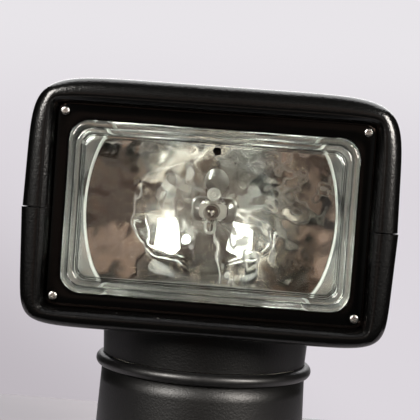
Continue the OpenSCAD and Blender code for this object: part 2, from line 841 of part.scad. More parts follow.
module half_shell(up, widen) {
    difference() {
        head_half(up, 0, 0, widen);
        difference() {
            head_half(up, shell_wall, 2, widen);
            rim_tube();
            screw_posts();
            shell_bosses(up);
        }
        lamp_opening();
        shell_boss_holes(up);
    }
}

// Posts behind the ledge that take the bezel's screws
module screw_posts() {
    for (x = [-1, 1], z = [-1, 1])
        rod_y(x * screw_x, ledge_y, lamp_z + z * screw_z, screw_post_r, screw_post_l + 2);
}

module shell_bosses(up) {
    for (x = [-1, 1], y = boss_y) {
        translate([x * boss_x, y, seam_z - (up > 0 ? 0 : lower_h)])
            cylinder(r = boss_r, h = up > 0 ? boss_h : lower_h);
        translate([x < 0 ? -head_w / 2 : boss_x, y - boss_rib_t / 2, seam_z - (up > 0 ? 0 : boss_h)])
            cube([boss_in, boss_rib_t, boss_h]);
    }
}

module shell_boss_holes(up) {
    for (x = [-1, 1], y = boss_y) translate([x * boss_x, y, 0]) {
        if (up > 0) translate([0, 0, seam_z - eps]) cylinder(r = m4_r, h = m4_l - boss_floor + 4);
        if (up < 0) {
            translate([0, 0, seam_z - 2 * boss_floor]) cylinder(r = m4_clear_r, h = far);
            translate([0, 0, seam_z - boss_floor - far]) cylinder(r = m4_sink_r, h = far);
        }
    }
}

module upper_shell() {
    color([0.07, 0.07, 0.075]) half_shell(1, 0);
}

module lower_shell() {
    cut_x = pocket_x + pocket_wall;
    color([0.07, 0.07, 0.075]) difference() {
        half_shell(-1, seam_step);
        translate([-cut_x, pocket_front_y - pocket_wall, pocket_roof_z + pocket_wall - far])
            cube([2 * cut_x, far, far]);
        tab_places() translate([0, 0, head_z - eps]) {
            cylinder(r = m3_clear_r, h = 2 * shell_wall);
            cylinder(r = m3_sink_r, h = eps + pan_screw_sink + m3_head_h);
        }
    }
}

module shell_screws() {
    color("silver") for (x = [-1, 1], y = boss_y) translate([x * boss_x, y, seam_z - boss_floor]) {
        translate([0, 0, -m4_head_h]) cylinder(r = m4_head_r, h = m4_head_h);
        cylinder(r = m4_r, h = m4_l);
    }
}

tab_h = 7;
tab_w = 11;
tab_y = [-52, -20];
pan_screw_sink = 0.2;

module tab_places() {
    for (x = [-1, 1], y = tab_y) translate([x * (pocket_x + pocket_wall + tab_w / 2), y, 0]) children();
}

// Feet of the pan on the floor of the lower shell
module pan_tabs() {
    tab_places() translate([-tab_w / 2 - eps, -tab_w / 2, head_z])
        cube([tab_w + 2 * eps, tab_w, shell_wall + tab_h]);
}

module belly_pan() {
    seat_r = axle_r + bush_wall;
    arch_gap = 3;
    arch_r = ear_r + arch_gap;
    arch_w = pocket_x - ear_x + arch_gap;
    arch_x = pocket_x - arch_w / 2;
    color([0.09, 0.09, 0.095]) difference() {
        intersection() {
            union() {
                translate([-pocket_x - pocket_wall, pocket_front_y - pocket_wall, head_z])
                    cube([2 * (pocket_x + pocket_wall), back_y - pocket_front_y,
                        pocket_roof_z + pocket_wall - head_z]);
                for (x = [-1, 1]) {
                    rod_x(x * arch_x, 0, axle_z, arch_r + pocket_wall, arch_w + 2 * pocket_wall);
                    rod_x(x * (pocket_x + bush_l / 2), 0, axle_z, seat_r + pocket_wall, bush_l);
                }
                pan_tabs();
            }
            head_half(-1, shell_wall, 0, seam_step);
        }
        translate([-pocket_x, pocket_front_y, pocket_roof_z - far]) cube([2 * pocket_x, far, far]);
        for (x = [-1, 1]) rod_x(x * arch_x, 0, axle_z, arch_r, arch_w);
        rod_x(0, 0, axle_z, seat_r, far);
        tab_places() translate([0, 0, head_z - eps]) cylinder(r = m3_r, h = shell_wall + tab_h);
        bracket_screw_places() cylinder(r = m3_r, h = 2 * m3_l, center = true);
        translate([-tilt_gear_t / 2 - 1, -sector_r, axle_z - far / 2])
            cube([tilt_gear_t + 2, 2 * sector_r + 4, far]);
    }
}

module belly_pan_screws() {
    color("silver") tab_places() translate([0, 0, head_z + pan_screw_sink]) m3_screw(tab_h);
}

module tilt_bushes() {
    color("darkgoldenrod") for (x = [-1, 1]) difference() {
        union() {
            rod_x(x * (pocket_x + bush_l / 2), 0, axle_z, axle_r + bush_wall, bush_l);
            rod_x(x * (pocket_x - bush_flange_t / 2), 0, axle_z, axle_r + 2 * bush_wall, bush_flange_t);
        }
        rod_x(0, 0, axle_z, axle_r + run_fit, far);
    }
}

motor_screw_off = 8.5;
foot_l = 18;
foot_screw_in = 5;
foot_screw_y = 8;

module motor_screw_places() {
    for (y = [-1, 1]) translate([bracket_x, tilt_pinion_y + y * motor_screw_off, tilt_pinion_z]) children();
}

module bracket_screw_places() {
    for (y = [-1, 1]) translate([bracket_x + foot_l - foot_screw_in, tilt_pinion_y + y * foot_screw_y,
        pocket_roof_z + pocket_wall]) children();
}

module tilt_motor() {
    can_x = bracket_x + bracket_t;
    color("silver") difference() {
        union() {
            rod_x(can_x + tilt_motor_l / 2, tilt_pinion_y, tilt_pinion_z, tilt_motor_r, tilt_motor_l);
            rod_x(can_x + tilt_motor_l, tilt_pinion_y, tilt_pinion_z, motor_nose_r, 2 * motor_nose_l);
        }
        rod_x(can_x, tilt_pinion_y, tilt_pinion_z, motor_shaft_r + run_fit, 2 * motor_shaft_l);
        motor_screw_places() rotate([0, 90, 0]) cylinder(r = m3_r, h = m3_l + 1);
    }
}

module tilt_motor_bracket() {
    color("gray") difference() {
        translate([bracket_x, tilt_pinion_y - bracket_w / 2, pocket_roof_z + pocket_wall]) {
            cube([bracket_t, bracket_w, tilt_pinion_z + tilt_motor_r - pocket_roof_z - pocket_wall]);
            cube([foot_l, bracket_w, bracket_t]);
        }
        rod_x(bracket_x, tilt_pinion_y, tilt_pinion_z, motor_nose_r, 4 * bracket_t);
        motor_screw_places() rotate([0, 90, 0]) cylinder(r = m3_clear_r, h = 4 * bracket_t, center = true);
        bracket_screw_places() cylinder(r = m3_clear_r, h = 4 * bracket_t, center = true);
    }
}

module tilt_motor_screws() {
    color("silver") {
        motor_screw_places() rotate([0, 90, 0]) translate([0, 0, -m3_head_h]) m3_screw();
        bracket_screw_places() translate([0, 0, bracket_t + m3_head_h]) rotate([180, 0, 0])
            m3_screw(bracket_t + pocket_wall);
    }
}

module tilt_pinion() {
    color("ivory") {
        translate([-tilt_gear_t / 2, tilt_pinion_y, tilt_pinion_z]) rotate([90, 0, 90])
            linear_extrude(tilt_gear_t)
            polygon(gear_points(tilt_module, tilt_pinion_teeth, dedendum, addendum, 0.5 - backlash,
                tilt_mesh_angle + 180 + 180 / tilt_pinion_teeth, tilt_pinion_teeth));
        rod_x(bracket_x, tilt_pinion_y, tilt_pinion_z, motor_shaft_r, 2 * motor_shaft_l - tilt_gear_t);
    }
}

// Lamp

bezel_post_r = 3.4;

module bezel() {
    color([0.04, 0.04, 0.04]) difference() {
        union() {
            facing(bezel_y, bezel_t) rounded_rect(bezel_w, bezel_h, bezel_r);
            for (x = [-1, 1], z = [-1, 1])
                rod_y(x * screw_x, glass_y - eps, lamp_z + z * screw_z, bezel_post_r, bowl_y - glass_y + eps);
        }
        facing(bezel_y - eps, bezel_t + 2 * eps)
            rounded_rect(lens_w + lens_clear, lens_h + lens_clear, lens_corner);
        for (x = [-1, 1], z = [-1, 1])
            rod_y(x * screw_x, bezel_y - eps, lamp_z + z * screw_z, m3_clear_r, screw_l);
    }
}

module bezel_screws() {
    color("silver") for (x = [-1, 1], z = [-1, 1]) difference() {
        union() {
            rod_y(x * screw_x, bezel_y - screw_head_h, lamp_z + z * screw_z, screw_head_r, screw_head_h);
            rod_y(x * screw_x, bezel_y - eps, lamp_z + z * screw_z, screw_shank_r, screw_l);
        }
        translate([x * screw_x, bezel_y - screw_head_h, lamp_z + z * screw_z])
            for (a = [0, 90]) rotate([0, a, 0]) cube([cross_l, 2 * cross_depth, cross_w], center = true);
    }
}

module lens() {
    step_in = 2.5;
    hollow_in = 2 * (lens_t + step_in);
    color([0.8, 0.85, 0.85, 0.35]) difference() {
        union() {
            facing(glass_y, lens_t)
                rounded_rect(lens_w + 2 * lens_hidden, lens_h + 2 * lens_hidden, lens_corner + lens_hidden);
            facing(bezel_y - lens_proud, bezel_t + lens_proud + eps) rounded_rect(lens_w, lens_h, lens_corner);
        }
        facing(bezel_y - lens_proud + lens_t, far)
            rounded_rect(lens_w - hollow_in, lens_h - hollow_in, lens_corner - step_in);
    }
}

module lens_gasket() {
    inner = 0.4;
    color([0.1, 0.1, 0.1]) facing(lens_gasket_y, lens_gasket_t) difference() {
        rounded_rect(lens_w + 2 * lens_hidden, lens_h + 2 * lens_hidden, lens_corner + lens_hidden);
        rounded_rect(lens_w - 2 * inner, lens_h - 2 * inner, lens_corner - inner);
    }
}

collar_r = 9;
collar_rim = 3;
collar_gap = 0.4;
collar_spigot_l = 3;
collar_y = vertex_y + 1;
collar_t = 2.5;
seat_wall = 4;
seat_l = 5;
clip_out = 8;
clip_x = collar_r + clip_out;
clip_z = 9.5;
clip_wire_r = 0.8;
clip_post_r = 3;
clip_y = collar_y + collar_t + clip_wire_r;
tip_past_focus = 14;
capsule_tip_y = vertex_y - focal - tip_past_focus;
return_gap = 2.2;
return_r = 1.2;
return_z = lamp_z - capsule_d / 2 - return_gap;
loop_r = 0.8;
loop_x = 2.8;
loop_drop = 5;
loop_z = return_z - loop_drop;

// Dish whose section is a parabola, from the bulb's hole to the front, grown outwards
module dish(grow, front) {
    steps = 24;
    depth = vertex_y - bowl_y;
    translate([0, vertex_y, lamp_z]) rotate([90, 0, 0]) rotate_extrude() polygon(concat(
        [[0, -grow]],
        [for (i = [0:steps]) let (r = collar_r + (bowl_r - collar_r) * i / steps)
            [r + grow * r / bowl_r, r * r / (4 * focal) - grow * (1 - 0.6 * i / steps)]],
        [[bowl_r + grow, depth + front], [0, depth + front]]));
}

module reflector() {
    color("gainsboro") difference() {
        union() {
            intersection() {
                dish(bowl_wall, 0);
                translate([-far / 2, -far / 2, lamp_z - bowl_flat - bowl_wall])
                    cube([far, far, 2 * (bowl_flat + bowl_wall)]);
            }
            facing(bowl_y, flange_plate_t) rounded_rect(bezel_w, bezel_h, bezel_r);
            rod_y(0, collar_y - seat_l, lamp_z, collar_r + seat_wall, seat_l);
            for (x = [-1, 1]) rod_y(x * clip_x, collar_y - clip_out, lamp_z, clip_post_r, clip_out + collar_t);
        }
        intersection() {
            dish(0, eps);
            translate([-far / 2, -far / 2, lamp_z - bowl_flat]) cube([far, far, 2 * bowl_flat]);
        }
        rod_y(0, bowl_y, lamp_z, collar_r, far);
        for (x = [-1, 1], z = [-1, 1])
            rod_y(x * screw_x, bowl_y - eps, lamp_z + z * screw_z, m3_clear_r, screw_l);
        rod_y(0, bowl_y, lamp_z + vent_up, vent_r, far);
    }
}

module bulb_collar() {
    color("silver") difference() {
        union() {
            rod_y(0, collar_y, lamp_z, collar_r + collar_rim, collar_t);
            rod_y(0, collar_y - collar_spigot_l, lamp_z, collar_r - collar_gap, collar_spigot_l + eps);
        }
        rod_y(0, bowl_y, lamp_z, capsule_d / 2, far);
        rod_y(0, bowl_y, return_z, return_r, far);
    }
}

pinch_l = 4;
stem_l = collar_y + collar_t - pinch_l - capsule_tip_y;

// Outer glass of the lamp, a tube with a round end
module bulb_capsule() {
    glass_t = 0.9;
    color([0.9, 0.9, 0.9, 0.3]) difference() {
        union() {
            rod_y(0, capsule_tip_y, lamp_z, capsule_d / 2, collar_y + collar_t - capsule_tip_y);
            translate([0, capsule_tip_y, lamp_z]) sphere(capsule_d / 2);
        }
        rod_y(0, capsule_tip_y, lamp_z, capsule_d / 2 - glass_t, stem_l);
        translate([0, capsule_tip_y, lamp_z]) sphere(capsule_d / 2 - glass_t);
    }
}

// Filament at the focus, between a short wire behind it and a long one that goes past it
module bulb_filament() {
    coil_r = 0.7;
    coil_l = 5.5;
    wire_r = 0.35;
    wire_z = lamp_z - 2;
    hook = 0.9;
    front_y = vertex_y - focal - coil_l / 2;
    end_y = capsule_tip_y + stem_l;
    color("dimgray") {
        rod_y(0, front_y, lamp_z, coil_r, coil_l);
        rod_y(0, front_y + coil_l / 2, lamp_z, wire_r, end_y - front_y - coil_l / 2);
        rod_y(0, front_y, wire_z, wire_r, end_y - front_y);
        translate([-hook / 2, front_y - hook / 2, wire_z - hook / 2]) cube([hook, hook, lamp_z - wire_z + hook]);
    }
}

// Stamped bracket that steadies the glass, on two legs from the collar, with a stud above
module bulb_bracket() {
    behind_focus = 15;
    stamp_y = vertex_y - focal + behind_focus;
    stamp_t = 2;
    stamp_w = 17;
    stamp_h = 9;
    stamp_corner = 3;
    stud_z = 10.3;
    stud_r = 4.2;
    leg_r = 1;
    leg_x = 7;
    color("silver") difference() {
        union() {
            facing(stamp_y, stamp_t) {
                rounded_rect(stamp_w, stamp_h, stamp_corner);
                translate([-stud_r / 2, 0]) square([stud_r, stud_z]);
            }
            rod_y(0, stamp_y - stamp_t, lamp_z + stud_z, stud_r, 2 * stamp_t);
            for (x = [-1, 1])
                rod_y(x * leg_x, stamp_y, lamp_z, leg_r, collar_y - collar_spigot_l - stamp_y);
        }
        rod_y(0, stamp_y - far / 2, lamp_z, capsule_d / 2 + run_fit, far);
    }
}

// Wire that loops round below the tip of the glass and comes back beside it to the collar
module bulb_return_wire() {
    loop_y = capsule_tip_y;
    color("white") {
        rod_y(0, loop_y, return_z, return_r, collar_y + collar_t - loop_y);
        for (x = [-1, 1]) translate([x * loop_x, loop_y, loop_z])
            cylinder(r = loop_r, h = lamp_z - capsule_d / 2 - loop_z);
        rod_x(0, loop_y, loop_z, loop_r, 2 * (loop_x + loop_r));
        translate([0, loop_y + loop_r, loop_z]) cylinder(r = loop_r, h = return_z - loop_z);
    }
}

// Wire bail that presses the collar onto the back of the reflector
module bulb_clip() {
    color("silver") {
        for (z = [-1, 1]) rod_x(0, clip_y, lamp_z + z * clip_z, clip_wire_r, 2 * clip_x + 2 * clip_wire_r);
        for (x = [-1, 1]) translate([x * clip_x, clip_y, lamp_z - clip_z])
            cylinder(r = clip_wire_r, h = 2 * clip_z);
    }
}

module bulb_socket() {
    socket_r = clip_z - clip_wire_r - eps;
    socket_l = 14;
    color([0.1, 0.1, 0.1]) {
        rod_y(0, collar_y + collar_t, lamp_z, socket_r, socket_l);
        rod_y(0, collar_y + collar_t, lamp_z, 0.7 * socket_r, 1.5 * socket_l);
    }
}

base_gasket();
base_housing();
base_plate();
base_plate_screws();
cable_gland();
gland_locknut();
ballast();
control_board();
board_posts();
pan_motor();
pan_motor_screws();
pan_spindle();
spindle_screws();
spindle_nut();
thrust_washer();
neck_seal();
pan_pinion();
neck_shell();
neck_cap();
neck_cap_screws();
pan_ring_gear();
ring_gear_screws();
pan_bush();
tilt_axle();
axle_clips();
tilt_sector();
upper_shell();
lower_shell();
shell_screws();
belly_pan();
belly_pan_screws();
tilt_bushes();
tilt_motor();
tilt_motor_bracket();
tilt_motor_screws();
tilt_pinion();
bezel();
bezel_screws();
lens();
lens_gasket();
reflector();
bulb_capsule();
bulb_filament();
bulb_bracket();
bulb_return_wire();
bulb_collar();
bulb_clip();
bulb_socket();
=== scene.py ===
import json
import math

import bmesh
import bpy
from mathutils import Matrix, Vector


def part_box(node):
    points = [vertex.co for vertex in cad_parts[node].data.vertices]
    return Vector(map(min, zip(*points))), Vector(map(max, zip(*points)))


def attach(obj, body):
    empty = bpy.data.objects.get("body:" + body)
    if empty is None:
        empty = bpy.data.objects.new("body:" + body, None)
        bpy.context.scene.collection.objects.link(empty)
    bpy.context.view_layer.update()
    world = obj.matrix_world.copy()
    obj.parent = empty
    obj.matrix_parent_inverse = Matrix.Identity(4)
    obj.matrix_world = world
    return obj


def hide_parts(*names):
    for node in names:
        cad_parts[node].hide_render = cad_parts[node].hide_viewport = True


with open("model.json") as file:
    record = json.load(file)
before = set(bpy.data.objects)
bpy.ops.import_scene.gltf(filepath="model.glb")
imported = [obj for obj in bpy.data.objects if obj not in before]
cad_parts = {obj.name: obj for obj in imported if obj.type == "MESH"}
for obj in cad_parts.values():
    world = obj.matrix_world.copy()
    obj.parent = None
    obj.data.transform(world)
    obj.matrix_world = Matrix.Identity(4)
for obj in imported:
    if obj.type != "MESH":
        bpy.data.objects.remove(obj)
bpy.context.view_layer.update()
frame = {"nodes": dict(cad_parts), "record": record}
mm = 0.001
print("frame loaded:", len(frame["nodes"]), "nodes")


# small tools

def hexColor(code):  # sRGB code to linear
    parts = [int(code[i:i + 2], 16) / 255 for i in (1, 3, 5)]
    linear = [p / 12.92 if p <= 0.04045 else ((p + 0.055) / 1.055) ** 2.4 for p in parts]
    return (*linear, 1.0)


def deselectAll():
    if bpy.context.object and bpy.context.object.mode != "OBJECT":
        bpy.ops.object.mode_set(mode="OBJECT")
    bpy.ops.object.select_all(action="DESELECT")


def pick(piece):
    deselectAll()
    piece.select_set(True)
    bpy.context.view_layer.objects.active = piece


def applyModifier(piece, kind, **settings):
    pick(piece)
    modifier = piece.modifiers.new(kind.title(), kind)
    for name, value in settings.items():
        setattr(modifier, name, value)
    bpy.ops.object.modifier_apply(modifier=modifier.name)


def smoothEdges(piece, angle=35):
    pick(piece)
    bpy.ops.object.shade_smooth_by_angle(angle=math.radians(angle))


def weighNormals(piece):  # large faces lead, so a small bevel leaves them flat
    applyModifier(piece, "WEIGHTED_NORMAL", mode="FACE_AREA", weight=50, keep_sharp=True)


def closeUp(piece, gap=0.01 * mm):  # welds near points and turns the faces outward
    pick(piece)
    bpy.ops.object.mode_set(mode="EDIT")
    bpy.ops.mesh.select_all(action="SELECT")
    bpy.ops.mesh.remove_doubles(threshold=gap)
    bpy.ops.mesh.normals_make_consistent(inside=False)
    bpy.ops.object.mode_set(mode="OBJECT")


def joinPieces(first, *others):
    deselectAll()
    for piece in (first, *others):
        piece.select_set(True)
    bpy.context.view_layer.objects.active = first
    bpy.ops.object.join()
    return first


def cutBox(low, high):
    deselectAll()
    bpy.ops.mesh.primitive_cube_add(size=1)
    cutter = bpy.context.object
    for vertex in cutter.data.vertices:
        vertex.co = [low[k] if vertex.co[k] < 0 else high[k] for k in range(3)]
    return cutter


def cutWith(piece, cutter):
    applyModifier(piece, "BOOLEAN", operation="DIFFERENCE", object=cutter, solver="EXACT")
    bpy.data.objects.remove(cutter)


def easeInOut(t):
    return 3 * t * t - 2 * t ** 3


def ringLoft(name, rings, capEnd=False):  # a circle, extruded from ring to ring
    deselectAll()
    bpy.ops.mesh.primitive_circle_add(vertices=len(rings[0]), radius=0.1)
    piece = bpy.context.object
    piece.name = name
    for vertex, place in zip(piece.data.vertices, rings[0]):
        vertex.co = place
    bpy.ops.object.mode_set(mode="EDIT")
    edit = bmesh.from_edit_mesh(piece.data)
    number = edit.verts.layers.int.new("number")
    for i, vertex in enumerate(edit.verts):
        vertex[number] = i
    bpy.ops.mesh.select_all(action="SELECT")
    for ring in rings[1:]:
        bpy.ops.mesh.extrude_edges_indiv()
        edit = bmesh.from_edit_mesh(piece.data)
        number = edit.verts.layers.int["number"]
        for vertex in edit.verts:
            if vertex.select:
                vertex.co = ring[vertex[number]]
    if capEnd:
        bpy.ops.mesh.edge_face_add()
    bmesh.update_edit_mesh(piece.data)
    bpy.ops.object.mode_set(mode="OBJECT")
    piece.data.attributes.remove(piece.data.attributes["number"])
    closeUp(piece)
    return piece


def roundedRing(width, height, radius, y, centreZ, perCorner=10):  # rounded rectangle, facing forward
    ring = []
    for corner in range(4):
        cx = (width / 2 - radius) * (1, -1, -1, 1)[corner]
        cz = (height / 2 - radius) * (1, 1, -1, -1)[corner]
        for i in range(perCorner):
            a = math.radians(90 * corner + 90 * i / (perCorner - 1))
            ring.append((cx + radius * math.cos(a), y, centreZ + cz + radius * math.sin(a)))
    return ring


def finishPiece(piece, body, material, node):
    piece.data.materials.clear()
    piece.data.materials.append(material)
    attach(piece, body)
    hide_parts(node)
    return piece


# materials

def addNode(tree, kind, settings=None, **links):  # links: input name = value or another node's socket
    node = tree.nodes.new(kind)
    for name, value in (settings or {}).items():
        setattr(node, name, value)
    for name, value in links.items():
        byPlace = name[0] == "i" and name[1:].isdigit()  # i6 is the input at place 6
        socket = node.inputs[int(name[1:]) if byPlace else name.replace("_", " ")]
        if isinstance(value, bpy.types.NodeSocket):
            tree.links.new(value, socket)
        else:
            socket.default_value = value
    return node


def newMaterial(name):
    material = bpy.data.materials.new(name)
    material.use_nodes = True
    tree = material.node_tree
    shader = tree.nodes["Principled BSDF"]
    where = addNode(tree, "ShaderNodeTexCoord").outputs["Object"]
    return material, tree, shader, where


def speckle(tree, shader, where, grain, depth, roughLow, roughHigh):  # grain in metres
    relief = 0.2 * grain
    noise = addNode(tree, "ShaderNodeTexNoise", Vector=where, Scale=1 / grain, Detail=2.0)
    rough = addNode(tree, "ShaderNodeMapRange", Value=noise.outputs["Fac"], To_Min=roughLow, To_Max=roughHigh)
    bump = addNode(tree, "ShaderNodeBump", Height=noise.outputs["Fac"], Strength=depth, Distance=relief)
    tree.links.new(rough.outputs["Result"], shader.inputs["Roughness"])
    tree.links.new(bump.outputs["Normal"], shader.inputs["Normal"])
    return noise


def blackAbs(name, roughLow, roughHigh):  # ABS from a spark-eroded tool: satin black, fine even grain
    material, tree, shader, where = newMaterial(name)
    grain = 1.2 * mm  # the real grain is nearer 0.3 mm, too fine to show
    noise = speckle(tree, shader, where, grain, 0.55, roughLow, roughHigh)
    tone = addNode(tree, "ShaderNodeMix", {"data_type": "RGBA"}, i0=noise.outputs["Fac"],
                   i6=hexColor("#020202"), i7=hexColor("#050505"))
    tree.links.new(tone.outputs[2], shader.inputs["Base Color"])
    shader.inputs["IOR"].default_value = 1.5
    shader.inputs["Specular IOR Level"].default_value = 0.4
    return material


def glossBlack():  # smooth moulded ABS, polished tool: even black with a soft gloss
    material, tree, shader, where = newMaterial("polished black ABS")
    speckle(tree, shader, where, 14 * mm, 0.03, 0.12, 0.17)
    shader.inputs["Base Color"].default_value = hexColor("#020202")
    shader.inputs["IOR"].default_value = 1.52
    shader.inputs["Specular IOR Level"].default_value = 0.12
    return material


def blackRubber():  # moulded EPDM: dull black, slightly cloudy
    material, tree, shader, where = newMaterial("moulded EPDM rubber")
    noise = speckle(tree, shader, where, 3 * mm, 0.08, 0.32, 0.46)
    tone = addNode(tree, "ShaderNodeMix", {"data_type": "RGBA"}, i0=noise.outputs["Fac"],
                   i6=hexColor("#080808"), i7=hexColor("#101011"))
    tree.links.new(tone.outputs[2], shader.inputs["Base Color"])
    return material


def metalFinish(name, color, roughLow, roughHigh, grain, depth=0.05):  # bare metal with an uneven sheen
    material, tree, shader, where = newMaterial(name)
    speckle(tree, shader, where, grain, depth, roughLow, roughHigh)
    shader.inputs["Base Color"].default_value = hexColor(color)
    shader.inputs["Metallic"].default_value = 1.0
    return material


def plainPlastic(name, color, roughLow, roughHigh):  # even colour, faintly cloudy sheen
    material, tree, shader, where = newMaterial(name)
    speckle(tree, shader, where, 4 * mm, 0.04, roughLow, roughHigh)
    shader.inputs["Base Color"].default_value = hexColor(color)
    return material


def pressedGlass():  # soda-lime glass from a mould: clear with a faint green, and slow waves
    material, tree, shader, where = newMaterial("pressed soda-lime glass")
    noise = addNode(tree, "ShaderNodeTexNoise", Vector=where, Scale=1 / (40 * mm), Detail=1.0)
    bump = addNode(tree, "ShaderNodeBump", Height=noise.outputs["Fac"], Strength=0.05, Distance=0.5 * mm)
    tree.links.new(bump.outputs["Normal"], shader.inputs["Normal"])
    shader.inputs["Base Color"].default_value = hexColor("#f3f9f5")
    shader.inputs["Roughness"].default_value = 0.0
    shader.inputs["IOR"].default_value = 1.5
    shader.inputs["Transmission Weight"].default_value = 1.0
    return material


def thinQuartz():  # blown quartz, too thin to bend the view: clear face on, pale at its edges
    material, tree, shader, where = newMaterial("quartz lamp glass")
    noise = addNode(tree, "ShaderNodeTexNoise", Vector=where, Scale=1 / (6 * mm), Detail=1.0)
    tone = addNode(tree, "ShaderNodeMix", {"data_type": "RGBA"}, i0=noise.outputs["Fac"],
                   i6=hexColor("#cfc0b6"), i7=hexColor("#e9e4de"))
    edge = addNode(tree, "ShaderNodeLayerWeight", Blend=0.35).outputs["Facing"]
    cover = addNode(tree, "ShaderNodeMapRange", Value=edge, To_Min=0.07, To_Max=0.6)
    tree.links.new(tone.outputs[2], shader.inputs["Base Color"])
    tree.links.new(cover.outputs["Result"], shader.inputs["Alpha"])
    shader.inputs["Roughness"].default_value = 0.04
    shader.inputs["Metallic"].default_value = 1.0
    return material


mirrorSizes = {
    "ripple": 17 * mm,
    "swell": 1.0 * mm,
    "edgeDepths": (2.4 * mm, 1.9 * mm),  # behind the flange's face, from mirror to dull
    "flatHeights": (41.5 * mm, 43 * mm),  # from the lamp's axis, from mirror to dull
    "mirrorRough": 0.045,
    "dullRough": 0.27,
}


def mirrorAluminium():  # vacuum-deposited on a pressed bowl: a rippled mirror, dull behind the glass border
    size = mirrorSizes
    material, tree, shader, where = newMaterial("aluminised mirror")
    ripple = addNode(tree, "ShaderNodeTexNoise", Vector=where, Scale=1 / size["ripple"], Detail=1.2)
    swell = addNode(tree, "ShaderNodeBump", Height=ripple.outputs["Fac"], Strength=0.4,
                    Distance=size["swell"])
    tree.links.new(swell.outputs["Normal"], shader.inputs["Normal"])
    place = addNode(tree, "ShaderNodeSeparateXYZ", Vector=where)
    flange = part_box("reflector")[0][1]
    middle = (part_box("bezel")[0][2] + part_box("bezel")[1][2]) / 2
    deep, shallow = size["edgeDepths"]
    near, far = size["flatHeights"]
    edge = addNode(tree, "ShaderNodeMapRange", Value=place.outputs["Y"], From_Min=flange + deep,
                   From_Max=flange + shallow)
    rise = addNode(tree, "ShaderNodeMath", {"operation": "SUBTRACT"}, i0=place.outputs["Z"], i1=middle)
    off = addNode(tree, "ShaderNodeMath", {"operation": "ABSOLUTE"}, i0=rise.outputs[0])
    flat = addNode(tree, "ShaderNodeMapRange", Value=off.outputs[0], From_Min=near, From_Max=far)
    dull = addNode(tree, "ShaderNodeMath", {"operation": "MAXIMUM"}, i0=edge.outputs["Result"],
                   i1=flat.outputs["Result"])
    rough = addNode(tree, "ShaderNodeMapRange", Value=dull.outputs[0], To_Min=size["mirrorRough"],
                    To_Max=size["dullRough"])
    tree.links.new(rough.outputs["Result"], shader.inputs["Roughness"])
    shader.inputs["Base Color"].default_value = hexColor("#eeeded")
    shader.inputs["Metallic"].default_value = 1.0
    return material


finishes = {
    "black_plastic": blackAbs("moulded black ABS", 0.14, 0.24),
    "bezel_plastic": glossBlack(),
    "gland_plastic": plainPlastic("moulded black nylon", "#101011", 0.4, 0.55),  # dull near-black
    "rubber": blackRubber(),
    "steel": metalFinish("stainless steel", "#c9c7c3", 0.2, 0.34, 2 * mm),  # bright, a little warm
    "motor_steel": metalFinish("zinc plated steel", "#a9abac", 0.28, 0.42, 3 * mm),  # grey, cloudy
    "alloy": metalFinish("cast aluminium", "#b9bbbd", 0.35, 0.5, 1.5 * mm, 0.12),  # pale, grainy
    "acetal": plainPlastic("natural acetal", "#dcd8cc", 0.35, 0.45),  # milky white
    "bronze": metalFinish("bearing bronze", "#b48a4a", 0.3, 0.42, 2 * mm),  # brownish gold
    "board_green": plainPlastic("glass-epoxy board", "#14532b", 0.35, 0.45),  # deep green
    "lens_glass": pressedGlass(),
    "mirror_metal": mirrorAluminium(),
    "lamp_glass": thinQuartz(),
    "arc_ceramic": plainPlastic("lamp ceramic", "#d8cfc0", 0.3, 0.45),  # cream white
}
dullAbs = blackAbs("dull moulded black ABS", 0.36, 0.48)  # column and neck, with a wider soft highlight
etchedRim = metalFinish("etched aluminium", "#f6f6f4", 0.5, 0.62, 2 * mm)  # dull white, where the mirror ends
nickelWire = metalFinish("nickel plated wire", "#eae8e4", 0.3, 0.42, 2 * mm)  # pale and evenly bright
slotOf = {part["node"]: part["material_slot"] for part in frame["record"]["subparts"]}
for nodeName, nodeObject in frame["nodes"].items():
    nodeObject.data.materials.clear()
    nodeObject.data.materials.append(finishes[slotOf[nodeName]])
print("materials made:", len(finishes))


def smoothCopy(nodeName, pieceName, body):  # the solid's own mesh, copied and shaded smooth
    source = frame["nodes"][nodeName]
    piece = bpy.data.objects.new(pieceName, source.data.copy())
    bpy.context.scene.collection.objects.link(piece)
    closeUp(piece, 0.005 * mm)
    smoothEdges(piece, 30)
    slotName = slotOf[nodeName]
    return finishPiece(piece, body, finishes[slotName], nodeName)


# head shells

lowUpper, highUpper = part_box("upper_shell")
lowLower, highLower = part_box("lower_shell")
lowBezel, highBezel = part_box("bezel")
lampZ = (lowBezel[2] + highBezel[2]) / 2
lensDrop = 0.9 * mm  # the glass sits this much below the bezel's middle
lensZ = lampZ - lensDrop
seamZ = highLower[2]

